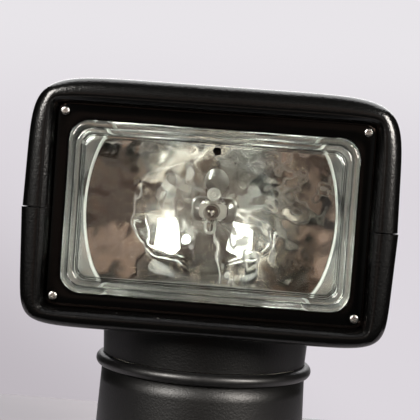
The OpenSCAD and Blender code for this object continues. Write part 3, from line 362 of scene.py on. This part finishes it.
shellSizes = {
    "points": 192,
    "spread": 9,  # crowds the points toward the corners
    "rimSide": 14.1 * mm,
    "rimTop": 14 * mm,
    "rimBottom": 8 * mm,
    "rimRound": 7 * mm,
    "stripDepth": 1.6 * mm,  # slanted strip round the opening
    "stripShare": 0.19,  # its share of the rim's width
    "stripFoot": 0.5 * mm,  # upright edge inside the strip
    "stripBack": 0.264 * mm,  # the strip's outer edge, behind the rim's foremost line
    "creaseStep": 0.024 * mm,
    "creaseShare": 0.02,
    "ridgeStart": 0.05,
    "ridgeRise": 0.192 * mm,
    "rimRidge": 0.36,  # share of the rim's width from the opening to its foremost line
    "recessDraft": 1.0 * mm,
    "ledgeBehindRim": 19 * mm,
    "apertureWidth": 158 * mm,
    "apertureHeight": 105 * mm,
    "apertureSquare": 10,
    "upperSquare": 7.6,
    "lowerSquare": 11,
    "upperDraft": 1.4,  # degrees that the sides lean in, away from the seam
    "lowerDraft": 2.4,
    "openSquare": 34,
    "taperFrom": 35 * mm,
    "sideTaper": 0.9,
    "topTaper": 1.3,
    "bellyFrom": 19.2 * mm,
    "sideStops": [y * mm for y in (-75, -60, -45, -30, -18, -6, 4, 12, 17, 19.2, 21.5, 25, 29)],
    "lipDrop": 1.5 * mm,  # the rim hangs this much below the belly
    "lipReach": 22 * mm,
    "backRound": 14 * mm,
    "wall": 2.6 * mm,
    "seamGap": 0.7 * mm,
    "seamBevel": 0.45 * mm,
    "sharpest": 55,  # degrees, edges past this are bevelled
}


def shellRing(y, half, up, down, squares, leans=(0.0, 0.0)):  # superellipse about the seam
    squareUp, squareDown = squares
    leanUp, leanDown = leans
    ring = []
    count, power = shellSizes["points"], 2 / shellSizes["spread"]
    for i in range(count):
        a = 2 * math.pi * i / count
        c, s = math.cos(a), math.sin(a)
        u = math.copysign(abs(c) ** power, c) if abs(c) > 1e-9 else 0.0
        v = math.copysign(abs(s) ** power, s) if abs(s) > 1e-9 else 0.0
        square = squareUp if v >= 0 else squareDown
        r = (abs(u) ** square + abs(v) ** square) ** (-1 / square)
        rise = (up if v >= 0 else down) * v * r
        lean = math.copysign((leanUp if v >= 0 else leanDown) * abs(rise) * abs(u * r), u)
        ring.append((half * u * r - lean, y, seamZ + rise))
    return ring


def mixRing(first, second, share, y):
    return [(a[0] + share * (b[0] - a[0]), y, a[2] + share * (b[2] - a[2])) for a, b in zip(first, second)]


def shellRings(halfWidth, upHeight, downHeight):
    size = shellSizes
    rimY, backY = lowUpper[1], highUpper[1]
    taperY = rimY + size["taperFrom"]
    squares = (size["upperSquare"], size["lowerSquare"])
    openSquares = (size["openSquare"], size["openSquare"])
    apertureSquares = (size["apertureSquare"], size["apertureSquare"])
    leans = [math.tan(math.radians(size[k])) for k in ("upperDraft", "lowerDraft")]
    openHalf = highUpper[0] - size["rimSide"]
    openUp = highUpper[2] - size["rimTop"] - seamZ
    openDown = seamZ - lowLower[2] - size["rimBottom"]

    def outer(y, inset):
        drawn = max(0.0, y - taperY) ** 2
        hang = size["lipDrop"] * max(0.0, 1 - ((y - rimY) / size["lipReach"]) ** 2)
        return shellRing(y, halfWidth - size["sideTaper"] * drawn - inset,
                         upHeight - size["topTaper"] * drawn - inset,
                         downHeight + hang - max(0.0, y - size["bellyFrom"]) - inset, squares, leans)

    ledgeY = rimY + size["ledgeBehindRim"]
    draft = size["recessDraft"]
    rings = [
        shellRing(ledgeY, size["apertureWidth"] / 2, lampZ + size["apertureHeight"] / 2 - seamZ,
                  seamZ - lampZ + size["apertureHeight"] / 2, apertureSquares),
        shellRing(ledgeY, openHalf - draft, openUp - draft, openDown - draft, openSquares),
    ]
    opening = shellRing(rimY, openHalf, openUp, openDown, openSquares)
    side = outer(rimY, 0.0)
    ridge, strip, crease = size["rimRidge"], size["stripShare"], size["creaseShare"]
    stripY, innerY = rimY + size["stripBack"], rimY + size["stripDepth"]
    for share, y in ((0.0, innerY + size["stripFoot"]), (crease, innerY),
                     (strip - crease, stripY - size["creaseStep"]), (strip, stripY),
                     (strip + crease, stripY)):
        rings.append(mixRing(opening, side, share, y))
    start = strip + size["ridgeStart"]
    for i in range(7):  # from the strip up to the rim's foremost line
        q = 1 - i / 6
        y = rimY + size["ridgeRise"] * (1 - math.sqrt(1 - q * q))
        rings.append(mixRing(opening, side, start + (ridge - start) * (1 - q), y))
    for i in range(1, 13):  # and round to the outside
        a = math.radians(90 * i / 12)
        y = rimY + size["rimRound"] * (1 - math.cos(a))
        rings.append(mixRing(opening, side, ridge + (1 - ridge) * math.sin(a), y))
    for y in size["sideStops"]:
        rings.append(outer(y, 0.0))
    for i in range(11):  # round to the back
        a = math.radians(90 * i / 10)
        y = backY - size["backRound"] * (1 - math.sin(a))
        rings.append(outer(y, size["backRound"] * (1 - math.cos(a))))
    flat = rings[-1]
    centre = [(0.0, backY, seamZ)] * len(flat)
    rings.append(mixRing(flat, centre, 0.5, backY))
    rings.append(mixRing(flat, centre, 0.9, backY))
    return rings


def headShell(name, up, halfWidth):
    size = shellSizes
    piece = ringLoft(name, shellRings(halfWidth, highUpper[2] - seamZ, seamZ - lowLower[2]), capEnd=True)
    pick(piece)
    bpy.ops.object.mode_set(mode="EDIT")
    bpy.ops.mesh.select_all(action="SELECT")
    bpy.ops.mesh.bisect(plane_co=(0, 0, seamZ + up * size["seamGap"] / 2), plane_no=(0, 0, up),
                        clear_inner=True)
    bpy.ops.object.mode_set(mode="OBJECT")
    applyModifier(piece, "SOLIDIFY", thickness=size["wall"], offset=-1)
    return piece


def finishShell(piece, nodeName):
    applyModifier(piece, "BEVEL", width=shellSizes["seamBevel"], segments=2, limit_method="ANGLE",
                  angle_limit=math.radians(shellSizes["sharpest"]))
    smoothEdges(piece)
    weighNormals(piece)
    return finishPiece(piece, "head", finishes["black_plastic"], nodeName)


upperShell = headShell("upperShell", 1, highUpper[0])
finishShell(upperShell, "upper_shell")

pocketSizes = {
    "half": 71.1 * mm,  # open pocket under the belly
    "front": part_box("belly_pan")[0][1],
    "low": lowLower[2] - 10 * mm,
    "back": 200 * mm,  # past the shell's back
    "top": 135 * mm,
}
lowerShell = headShell("lowerShell", -1, highLower[0])
cutWith(lowerShell, cutBox((-pocketSizes["half"], pocketSizes["front"], pocketSizes["low"]),
                           (pocketSizes["half"], pocketSizes["back"], pocketSizes["top"])))
finishShell(lowerShell, "lower_shell")
print("shells made:", len(upperShell.data.polygons), len(lowerShell.data.polygons))


# bezel and its screws

bezelSizes = {
    "width": highBezel[0] - lowBezel[0],
    "height": highBezel[2] - lowBezel[2],
    "corner": 6 * mm,
    "front": lowBezel[1],
    "thick": 3 * mm,
    "edge": 0.3 * mm,
    "openWidth": 166.4 * mm,
    "openHeight": 99.6 * mm,
    "openCorner": 12 * mm,
    "screwInset": 4 * mm,
}


def makeBezel():
    size = bezelSizes
    rings = []

    def outside(inset, y):
        return roundedRing(size["width"] - 2 * inset, size["height"] - 2 * inset,
                           size["corner"] - inset, y, lampZ)

    def inside(inset, y):
        return roundedRing(size["openWidth"] + 2 * inset, size["openHeight"] + 2 * inset,
                           size["openCorner"] + inset, y, lensZ)

    edge, front, back = size["edge"], size["front"], size["front"] + size["thick"]
    rings.append(outside(0, back))
    for i in range(5):
        a = math.radians(90 * i / 4)
        rings.append(outside(edge * (1 - math.cos(a)), front + edge * (1 - math.sin(a))))
    for i in range(5):
        a = math.radians(90 * i / 4)
        rings.append(inside(edge * (1 - math.sin(a)), front + edge * (1 - math.cos(a))))
    rings.append(inside(0, back))
    rings.append(outside(0, back))
    bezel = ringLoft("bezelPlate", rings)
    smoothEdges(bezel, 40)
    return finishPiece(bezel, "head", finishes["bezel_plastic"], "bezel")


makeBezel()

screwSizes = {
    "points": 48,
    "headRadius": 2.5 * mm,
    "headHeight": 2.0 * mm,
    "crown": 0.7 * mm,
    "crownCurve": 0.6,
    "crossLength": 3.2 * mm,
    "crossWidth": 0.75 * mm,
    "crossDepth": 1.2 * mm,
    "cutAbove": 1 * mm,  # room for the cutter in front of the head
    "shank": 1.45 * mm,
    "length": 20 * mm,
    "turns": (12, 47, -20, 70),  # how far each cross is turned, degrees
}


def circleRing(radius, y):
    count = screwSizes["points"]
    angles = [2 * math.pi * i / count for i in range(count)]
    return [(radius * math.cos(a), y, radius * math.sin(a)) for a in angles]


def makeScrew(name, x, z, turn):
    size = screwSizes
    front = bezelSizes["front"]
    rings = []
    for r, y in ((size["shank"], size["length"]), (size["shank"], 0.0), (size["headRadius"], 0.0)):
        rings.append(circleRing(r, front + y))
    flat = size["headHeight"] - size["crown"]
    for i in range(1, 9):  # rounded pan head
        a = math.radians(90 * i / 9)
        r = size["headRadius"] * math.cos(a) ** size["crownCurve"]
        rings.append(circleRing(r, front - flat - size["crown"] * math.sin(a)))
    screw = ringLoft(name, rings, capEnd=True)
    top = front - size["headHeight"]
    arm, slit = size["crossLength"] / 2, size["crossWidth"] / 2
    for halfX, halfZ in ((arm, slit), (slit, arm)):
        cutWith(screw, cutBox((-halfX, top - size["cutAbove"], -halfZ),
                              (halfX, top + size["crossDepth"], halfZ)))
    screw.data.transform(Matrix.Rotation(math.radians(turn), 4, "Y"))
    screw.data.transform(Matrix.Translation((x, 0, z)))
    smoothEdges(screw, 40)
    return screw


screwX = bezelSizes["width"] / 2 - bezelSizes["screwInset"]
screwZ = bezelSizes["height"] / 2 - bezelSizes["screwInset"]
for i, turn in enumerate(screwSizes["turns"]):
    sideX, sideZ = (1 if i % 2 else -1), (1 if i < 2 else -1)
    finishPiece(makeScrew("bezelScrew%d" % (i + 1), sideX * screwX, lampZ + sideZ * screwZ, turn),
                "head", finishes["steel"], "bezel_screws")
print("bezel and screws made")


# glass front

lowLens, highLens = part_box("lens")
lensSizes = {
    "width": 166 * mm,
    "height": 99.2 * mm,
    "corner": 12 * mm,
    "cornerLoss": 0.6,  # of each millimetre inward
    "cornerLeast": 4 * mm,
    "perCorner": 14,
    "hidden": 1.5 * mm,  # lip behind the bezel
    "front": lowLens[1],
    "back": highLens[1],
    "lip": 3 * mm,
    "glass": 3 * mm,
    "hollowFillet": 1.6 * mm,
    "beads": (4.2 * mm, 3.4 * mm),  # widths of the two half-round beads of the border
    "beadRise": 2.6 * mm,
    "groove": 0.9 * mm,  # between the beads
    "stepRise": 1.2 * mm,  # from the valley inside the beads up to the pane
    "stepRun": 2.0 * mm,
    "paneSink": 0.5 * mm,
    "paneInset": 30 * mm,  # innermost ring, where the flat pane is filled
    "bar": 8.8 * mm,  # solid glass all round, which bends what lies behind it
}


def lensRing(inset, y):
    size = lensSizes
    corner = max(size["corner"] - size["cornerLoss"] * inset, size["cornerLeast"])
    width, height = size["width"] - 2 * inset, size["height"] - 2 * inset
    return roundedRing(width, height, corner, y, lensZ, size["perCorner"])


def makeLens():
    size = lensSizes
    front, back = size["front"], size["back"]
    wide, slim = size["beads"]
    width = wide + slim
    lipY, paneFront = back - size["lip"], front + size["paneSink"]
    valleyY = paneFront + size["stepRise"]
    outside = [lensRing(size["bar"], back), lensRing(-size["hidden"], back), lensRing(-size["hidden"], lipY),
               lensRing(0, lipY)]
    grooveY = front + size["groove"]
    outerBead = (0, wide, front + size["beadRise"], grooveY)
    innerBead = (wide, slim, grooveY, valleyY)
    for start, run, outerY, innerY in (outerBead, innerBead):
        for i in range(0 if start == 0 else 1, 17):  # half round
            a = math.radians(180 * i / 16)
            base = outerY if i < 8 else innerY
            outside.append(lensRing(start + run * (1 - math.cos(a)) / 2, base - (base - front) * math.sin(a)))
    for i in range(1, 8):  # soft step up to the pane
        t = i / 7
        outside.append(lensRing(width + size["stepRun"] * t, valleyY - size["stepRise"] * easeInOut(t)))
    outside.append(lensRing(size["paneInset"], paneFront))
    paneY, bar, fillet = paneFront + size["glass"], size["bar"], size["hollowFillet"]
    inside = [lensRing(bar, back)]
    for i in range(9):  # hollow inside the bar
        a = math.radians(90 * i / 8)
        inside.append(lensRing(bar + fillet * (1 - math.cos(a)), paneY + fillet * (1 - math.sin(a))))
    inside.append(lensRing(size["paneInset"], paneY))
    glass = ringLoft("lensGlass", outside, capEnd=True)
    joinPieces(glass, ringLoft("lensHollow", inside, capEnd=True))
    closeUp(glass)
    smoothEdges(glass, 40)
    return finishPiece(glass, "head", finishes["lens_glass"], "lens")


makeLens()

gasketSizes = {"out": 1.5 * mm, "in": 0.4 * mm}
lowGasket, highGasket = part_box("lens_gasket")


def makeGasket():
    low, high = lowGasket[1], highGasket[1]
    outer, inner = -gasketSizes["out"], gasketSizes["in"]
    gasket = ringLoft("lensGasket", [lensRing(outer, low), lensRing(outer, high), lensRing(inner, high),
                                     lensRing(inner, low), lensRing(outer, low)])
    smoothEdges(gasket)
    return finishPiece(gasket, "head", finishes["rubber"], "lens_gasket")


makeGasket()
print("glass made")


# reflector

def roundWire(name, path, radius):
    deselectAll()
    curve = bpy.data.curves.new(name, "CURVE")
    curve.dimensions = "3D"
    curve.bevel_depth = radius
    curve.bevel_resolution = 3
    curve.use_fill_caps = True
    spline = curve.splines.new("POLY")
    spline.points.add(len(path) - 1)
    for point, place in zip(spline.points, path):
        point.co = (*place, 1.0)
    wire = bpy.data.objects.new(name, curve)
    bpy.context.scene.collection.objects.link(wire)
    pick(wire)
    bpy.ops.object.convert(target="MESH")
    closeUp(wire)
    return wire


lowBowl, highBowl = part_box("reflector")
bowlSizes = {
    "points": 240,
    "focal": 27 * mm,
    "radius": 75 * mm,
    "flat": 50 * mm,
    "hole": 9 * mm,
    "wall": 1.6 * mm,
    "front": lowBowl[1],
    "width": highBowl[0] - lowBowl[0],
    "height": highBowl[2] - lowBowl[2],
    "ventUp": 35 * mm,
    "ventRadius": 2.6 * mm,
    "ventDeep": 11 * mm,  # middle of its cutter, in front of the bowl's lowest point
    "ventLong": 30 * mm,
    "rimRound": 2.0 * mm,
    "sideDip": 2.2 * mm,  # how much nearer the bowl ends at the lamp's sides, where the flange slants
    "sideReach": 36 * mm,
    "beadRadius": 1.1 * mm,  # dull bead along the bowl's edge
    "beadSink": 0.9 * mm,
}
vertexY = bowlSizes["front"] + bowlSizes["radius"] ** 2 / (4 * bowlSizes["focal"])


def bowlY(r):  # parabola
    return vertexY - r * r / (4 * bowlSizes["focal"])


def bowlReach(a):  # radius of the bowl's edge
    size = bowlSizes
    beside = max(0.0, 1 - (size["radius"] * math.sin(a) / size["sideReach"]) ** 2)
    return size["radius"] - size["sideDip"] * beside


def makeReflector():
    size = bowlSizes
    angles = [2 * math.pi * i / size["points"] for i in range(size["points"])]
    reach = [min(bowlReach(a), size["flat"] / max(abs(math.sin(a)), 1e-6)) for a in angles]

    def dish(share):
        ring = []
        for a, far in zip(angles, reach):
            r = size["hole"] + (far - size["hole"]) * share
            ring.append((r * math.cos(a), bowlY(r), lampZ + r * math.sin(a)))
        return ring

    def flange(share):
        halfW, halfH = size["width"] / 2, size["height"] / 2
        ring = []
        for a, far in zip(angles, reach):
            edge = min(halfW / max(abs(math.cos(a)), 1e-6), halfH / max(abs(math.sin(a)), 1e-6))
            r = far + (edge - far) * share
            cut = abs(far * math.sin(a)) > size["flat"] - 0.01 * mm
            dip = 0.0 if cut else bowlY(far) - size["front"]
            ring.append((r * math.cos(a), size["front"] + dip * (1 - share), lampZ + r * math.sin(a)))
        return ring

    rings = [dish(i / 40) for i in range(41)]
    for share in (0.0, 0.15, 0.6, 1.0):
        rings.append(flange(share))
    bowl = ringLoft("reflectorBowl", rings)
    pick(bowl)
    bpy.ops.object.mode_set(mode="EDIT")
    bpy.ops.mesh.select_all(action="SELECT")
    bpy.ops.mesh.normals_make_consistent(inside=True)
    bpy.ops.object.mode_set(mode="OBJECT")
    if sum(p.normal.y for p in bowl.data.polygons) > 0:  # the mirror faces forward
        bowl.data.flip_normals()
    applyModifier(bowl, "BEVEL", width=size["rimRound"], segments=4, limit_method="ANGLE",
                  angle_limit=math.radians(30))
    applyModifier(bowl, "SOLIDIFY", thickness=size["wall"], offset=-1)
    deselectAll()
    bpy.ops.mesh.primitive_cylinder_add(vertices=48, radius=size["ventRadius"], depth=size["ventLong"],
                                        location=(0, vertexY - size["ventDeep"], lampZ + size["ventUp"]),
                                        rotation=(math.pi / 2, 0, 0))
    cutWith(bowl, bpy.context.object)
    smoothEdges(bowl, 30)
    return finishPiece(bowl, "head", finishes["mirror_metal"], "reflector")


makeReflector()


def makeBowlBead(name, side):  # follows the bowl's edge between the two flats
    size = bowlSizes
    top = math.asin((size["flat"] - size["beadRadius"]) / size["radius"])
    path = []
    for i in range(41):
        a = top * (i / 20 - 1)
        r = bowlReach(a)
        path.append((side * r * math.cos(a), bowlY(r) + size["beadSink"], lampZ + r * math.sin(a)))
    bead = roundWire(name, path, size["beadRadius"])
    smoothEdges(bead)
    return finishPiece(bead, "head", etchedRim, "reflector")


makeBowlBead("bowlBeadLeft", -1)
makeBowlBead("bowlBeadRight", 1)
print("reflector made")


# lamp

lowCapsule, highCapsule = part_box("bulb_capsule")
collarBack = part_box("bulb_collar")[1][1]
bulbSizes = {
    "focusY": vertexY - bowlSizes["focal"],
    "tipY": lowCapsule[1] + (highCapsule[2] - lowCapsule[2]) / 2,
    "coilRadius": 0.6 * mm,
    "coilWire": 0.17 * mm,
    "coilTurns": 7,
    "perTurn": 20,
    "coilLength": 5 * mm,
    "leadWire": 0.3 * mm,
    "leadDrop": 2 * mm,
    "hookOut": 0.4 * mm,  # bends of the leads at the coil's ends
    "hookDown": 0.6 * mm,
    "hookIn": 0.2 * mm,
    "tailOut": 1 * mm,
    "stemBack": 12 * mm,
    "returnWire": 0.16 * mm,
    "loopWire": 0.9 * mm,
    "loopHalf": 2.8 * mm,
    "loopTop": -4.6 * mm,  # heights from the lamp's axis
    "loopLow": -11.7 * mm,
    "returnDrop": -6.7 * mm,
    "returnRun": 10 * mm,
    "studUp": 10.3 * mm,
    "studGrooves": (2.9 * mm, 1.3 * mm),
    "grooveRound": 0.6 * mm,
}


def makeFilament():
    size = bulbSizes
    radius, start = size["coilRadius"], size["focusY"] - size["coilLength"] / 2
    end = start + size["coilLength"]
    steps = size["perTurn"] * size["coilTurns"]
    coil = []
    for i in range(steps + 1):
        a = 2 * math.pi * i / size["perTurn"]
        y = start + size["coilLength"] * i / steps
        coil.append((radius * math.cos(a), y, lampZ + radius * math.sin(a)))
    low = lampZ - size["leadDrop"]
    stemY = highCapsule[1] - size["stemBack"]
    front = [(radius, start, lampZ), (0, start - size["hookOut"], lampZ - size["hookDown"]),
             (0, start - size["hookIn"], low), (0, stemY, low)]
    back = [(radius, end, lampZ), (0, end + size["tailOut"], lampZ), (0, stemY, lampZ)]
    filament = joinPieces(roundWire("filamentCoil", coil, size["coilWire"]),
                          roundWire("frontLead", front, size["leadWire"]),
                          roundWire("backLead", back, size["leadWire"]))
    smoothEdges(filament)
    return finishPiece(filament, "head", nickelWire, "bulb_filament")


def makeReturnLoop():
    size = bulbSizes
    half, tip = size["loopHalf"], size["tipY"]
    bend = lampZ + size["loopLow"] + half
    loop = [(half, tip, lampZ + size["loopTop"])]
    for i in range(17):
        a = math.pi * i / 16
        loop.append((half * math.cos(a), tip, bend - half * math.sin(a)))
    loop.append((-half, tip, lampZ + size["loopTop"]))
    lead = []
    for i in range(13):  # from the loop's lowest point back and up to the collar
        t = i / 12
        rise = easeInOut(t) * (size["returnDrop"] - size["loopLow"])
        lead.append((0, tip + size["returnRun"] * t, lampZ + size["loopLow"] + rise))
    lead.append((0, collarBack, lampZ + size["returnDrop"]))
    wire = joinPieces(roundWire("returnLoop", loop, size["loopWire"]),
                      roundWire("returnLead", lead, size["returnWire"]))
    smoothEdges(wire)
    return finishPiece(wire, "head", nickelWire, "bulb_return_wire")


def makeBracket():
    size = bulbSizes
    bracket = smoothCopy("bulb_bracket", "bulbBracket", "head")
    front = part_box("bulb_bracket")[0][1]
    for radius in size["studGrooves"]:
        deselectAll()
        bpy.ops.mesh.primitive_torus_add(major_radius=radius, minor_radius=size["grooveRound"],
                                         major_segments=40, minor_segments=12,
                                         location=(0, front, lampZ + size["studUp"]),
                                         rotation=(math.pi / 2, 0, 0))
        cutWith(bracket, bpy.context.object)
    smoothEdges(bracket)
    bracket.data.materials[0] = nickelWire
    return bracket


# smooth copies, then the lamp's wires

copied = (
    ("base_housing", "columnHousing", "base"),
    ("neck_seal", "neckSeal", "base"),
    ("neck_shell", "neckShell", "neck"),
    ("neck_cap", "neckCap", "neck"),
    ("belly_pan", "bellyPan", "head"),
    ("cable_gland", "cableGland", "base"),
    ("bulb_capsule", "lampCapsule", "head"),
    ("bulb_collar", "lampCollar", "head"),
)
for nodeName, pieceName, body in copied:
    piece = smoothCopy(nodeName, pieceName, body)
    if nodeName in ("base_housing", "neck_shell", "neck_cap"):
        piece.data.materials[0] = dullAbs
makeFilament()
makeReturnLoop()
makeBracket()
print("smooth copies and lamp made")


# stage, light and camera

stageSizes = {
    "tableHalf": 0.45,
    "tableFront": -0.09,
    "tableBack": 0.29,
}


def stagePlane(name, low, high, material):
    deselectAll()
    bpy.ops.mesh.primitive_plane_add(size=1)
    plane = bpy.context.object
    plane.name = name
    for vertex in plane.data.vertices:
        vertex.co = [low[k] if vertex.co[k] < 0 else high[k] for k in range(2)] + [0]
    plane.data.materials.append(material)


def paper(name, color):  # matt card: even tone, no gloss
    material, _, shader, _ = newMaterial(name)
    shader.inputs["Base Color"].default_value = hexColor(color)
    shader.inputs["Roughness"].default_value = 0.9
    return material


stagePlane("table", (-stageSizes["tableHalf"], stageSizes["tableFront"]),
           (stageSizes["tableHalf"], stageSizes["tableBack"]), paper("pale table", "#7c797d"))

worldLooks = {
    "patches": {"Scale": 12.0, "Detail": 1.2, "Distortion": 0.4},
    "patchMiddle": -0.03,
    "patchContrast": 80.0,
    "patchTones": ((0.4, "#121211"), (0.5, "#262220"), (0.57, "#776259"), (0.68, "#bf9d8c")),
    "limits": {  # axis of the direction, where the tone starts and where it is full
        "ceiling": ("Z", 0.3, 0.5),
        "ahead": ("Y", -0.93, -0.97),
        "inside": ("X", 0.2, 0.14),
        "floor": ("Z", -0.07, -0.14),
        "flank": ("Y", -0.5, -0.2),
        "behind": ("Y", -0.4, 0.1),
        # painted shade: the wall seen behind the lamp grows darker toward the bottom
        "shadeFall": ("Z", 0.1, -0.03),
    },
    "backdropEdge": (0.6, 0.2),
    # painted shade: the wall grows darker toward its lower-left corner
    "cornerShadeSlope": -0.6,
    "corner": (0.12, 0.3),
    "front": "#a8a6a3",
    "ceiling": "#2a2928",
    "floor": "#121111",
    "flank": "#0f0e0e",
    "backdrop": "#e2dfe2",
    "wall": "#e8e5e9",
    # painted shade on the wall: darker tones for its bottom and its lower-left corner
    "wallLowShade": "#dcd7dd",
    "wallCornerShade": "#bdb7bd",
}


def lightWorld():  # pale wall behind the lamp, painted with shade that darkens it toward its bottom and lower-left corner; dark at its sides, a patchy room in front for the mirror
    look = worldLooks
    tint = {name: hexColor(look[name]) for name in ("front", "ceiling", "floor", "flank", "backdrop", "wall",
                                                    "wallLowShade", "wallCornerShade")}
    world = bpy.data.worlds.new("pale room")
    bpy.context.scene.world = world
    world.use_nodes = True
    tree = world.node_tree
    where = addNode(tree, "ShaderNodeTexCoord").outputs["Generated"]
    way = addNode(tree, "ShaderNodeSeparateXYZ", Vector=where)
    x, z = way.outputs["X"], way.outputs["Z"]
    soft = {"interpolation_type": "SMOOTHSTEP"}
    mix = {"data_type": "RGBA"}
    product = {"operation": "MULTIPLY"}
    share = {}
    for name, (axis, start, full) in look["limits"].items():
        limit = addNode(tree, "ShaderNodeMapRange", soft, Value=way.outputs[axis], From_Min=start,
                        From_Max=full)
        share[name] = limit.outputs["Result"]

    noise = addNode(tree, "ShaderNodeTexNoise", Vector=where, **look["patches"])
    raised = addNode(tree, "ShaderNodeMath", {"operation": "ADD"}, i0=z, i1=look["patchMiddle"])
    quarter = addNode(tree, "ShaderNodeMath", product, i0=x, i1=raised.outputs[0])
    tone = addNode(tree, "ShaderNodeMath", {"operation": "MULTIPLY_ADD"}, i0=quarter.outputs[0],
                   i1=look["patchContrast"], i2=noise.outputs["Fac"])
    room = addNode(tree, "ShaderNodeValToRGB", Fac=tone.outputs[0])  # what the bowl throws back
    room.color_ramp.elements[0].color = hexColor(look["patchTones"][0][1])
    room.color_ramp.elements[1].color = hexColor(look["patchTones"][-1][1])
    for place, code in look["patchTones"]:
        stop = room.color_ramp.elements.new(place)
        stop.color = hexColor(code)

    ceiling = addNode(tree, "ShaderNodeMix", mix, i0=share["ceiling"], i6=tint["front"], i7=tint["ceiling"])
    seenBack = addNode(tree, "ShaderNodeMath", product, i0=share["ahead"], i1=share["inside"])
    front = addNode(tree, "ShaderNodeMix", mix, i0=seenBack.outputs[0], i6=ceiling.outputs[2],
                    i7=room.outputs["Color"])
    floor = addNode(tree, "ShaderNodeMix", mix, i0=share["floor"], i6=front.outputs[2], i7=tint["floor"])
    side = addNode(tree, "ShaderNodeMix", mix, i0=share["flank"], i6=floor.outputs[2], i7=tint["flank"])
    width = addNode(tree, "ShaderNodeMath", {"operation": "ABSOLUTE"}, i0=x)
    start, full = look["backdropEdge"]
    narrow = addNode(tree, "ShaderNodeMapRange", soft, Value=width.outputs[0], From_Min=start, From_Max=full)
    backdrop = addNode(tree, "ShaderNodeMath", product, i0=narrow.outputs["Result"], i1=share["behind"])
    unseen = addNode(tree, "ShaderNodeMix", mix, i0=backdrop.outputs[0], i6=side.outputs[2],
                     i7=tint["backdrop"])

    # the wall as the camera sees it, with painted shade: darker toward the bottom and the lower-left corner
    wall = addNode(tree, "ShaderNodeMix", mix, i0=share["shadeFall"], i6=tint["wall"], i7=tint["wallLowShade"])
    across = addNode(tree, "ShaderNodeMath", product, i0=x, i1=look["cornerShadeSlope"])
    down = addNode(tree, "ShaderNodeMath", {"operation": "SUBTRACT"}, i0=across.outputs[0], i1=z)
    start, full = look["corner"]
    corner = addNode(tree, "ShaderNodeMapRange", soft, Value=down.outputs[0], From_Min=start, From_Max=full)
    seen = addNode(tree, "ShaderNodeMix", mix, i0=corner.outputs["Result"], i6=wall.outputs[2],
                   i7=tint["wallCornerShade"])
    camera = addNode(tree, "ShaderNodeLightPath").outputs["Is Camera Ray"]
    color = addNode(tree, "ShaderNodeMix", mix, i0=camera, i6=unseen.outputs[2], i7=seen.outputs[2])
    tree.links.new(color.outputs[2], tree.nodes["Background"].inputs["Color"])


lightWorld()


aim = Vector((0, bezelSizes["front"], lampZ))
lightSizes = {  # angles in degrees about the bezel's middle, lengths in metres
    "leftSoftbox": {"azimuth": -40, "elevation": 25, "distance": 1.2, "width": 0.5, "height": 0.64,
                    "glow": 28.0, "color": "#fffaf4"},
    "rightSoftbox": {"azimuth": 50, "elevation": 24, "distance": 1.2, "width": 0.42, "height": 0.66,
                     "glow": 38.0, "color": "#fff8f0"},
    "roundLamp": {"azimuth": 31, "elevation": 31, "distance": 1.6, "width": 0.26, "height": 0.26,
                  "glow": 7.0, "shape": "DISK"},
    "topSoftbox": {"azimuth": 180, "elevation": 55, "distance": 1.2, "width": 1.6, "height": 1.8,
                   "glow": 3.5},
}


def wayTo(azimuth, elevation):
    az, el = math.radians(azimuth), math.radians(elevation)
    return Vector((math.sin(az) * math.cos(el), -math.cos(az) * math.cos(el), math.sin(el)))


def placeLight(name, size):
    place = aim + size["distance"] * wayTo(size["azimuth"], size["elevation"])
    deselectAll()
    bpy.ops.object.light_add(type="AREA", location=place)
    lamp = bpy.context.object
    lamp.name = name
    lamp.data.shape = size.get("shape", "RECTANGLE")
    lamp.data.size = size["width"]
    lamp.data.size_y = size["height"]
    lamp.data.energy = size["glow"] * math.pi * size["width"] * size["height"]
    lamp.data.color = hexColor(size.get("color", "#ffffff"))[:3]
    lamp.rotation_euler = (aim - place).to_track_quat("-Z", "Y").to_euler()


for name, size in lightSizes.items():
    placeLight(name, size)

cameraSizes = {
    "distance": 741 * mm,
    "azimuth": 2.1,
    "elevation": 2.7,
    "roll": 4.25,
    "lens": 111.4,
    "sensor": 36,
    "shiftX": 0.4 / 420,  # shares of the picture's width
    "shiftY": 4.6 / 420,
}


def placeCamera():
    size = cameraSizes
    az, roll = math.radians(size["azimuth"]), math.radians(size["roll"])
    away = wayTo(size["azimuth"], size["elevation"])
    right = Vector((math.cos(az), math.sin(az), 0))
    up = away.cross(right)
    leanRight = right * math.cos(roll) + up * math.sin(roll)
    leanUp = up * math.cos(roll) - right * math.sin(roll)
    data = bpy.data.cameras.new("photoCamera")
    data.lens = size["lens"]
    data.sensor_width = size["sensor"]
    data.shift_x, data.shift_y = size["shiftX"], size["shiftY"]
    camera = bpy.data.objects.new("photoCamera", data)
    bpy.context.scene.collection.objects.link(camera)
    turn = Matrix((leanRight, leanUp, away)).transposed().to_4x4()
    camera.matrix_world = Matrix.Translation(aim + away * size["distance"]) @ turn
    bpy.context.scene.camera = camera


placeCamera()
bpy.context.scene.view_settings.view_transform = "Standard"
print("stage, light and camera set")
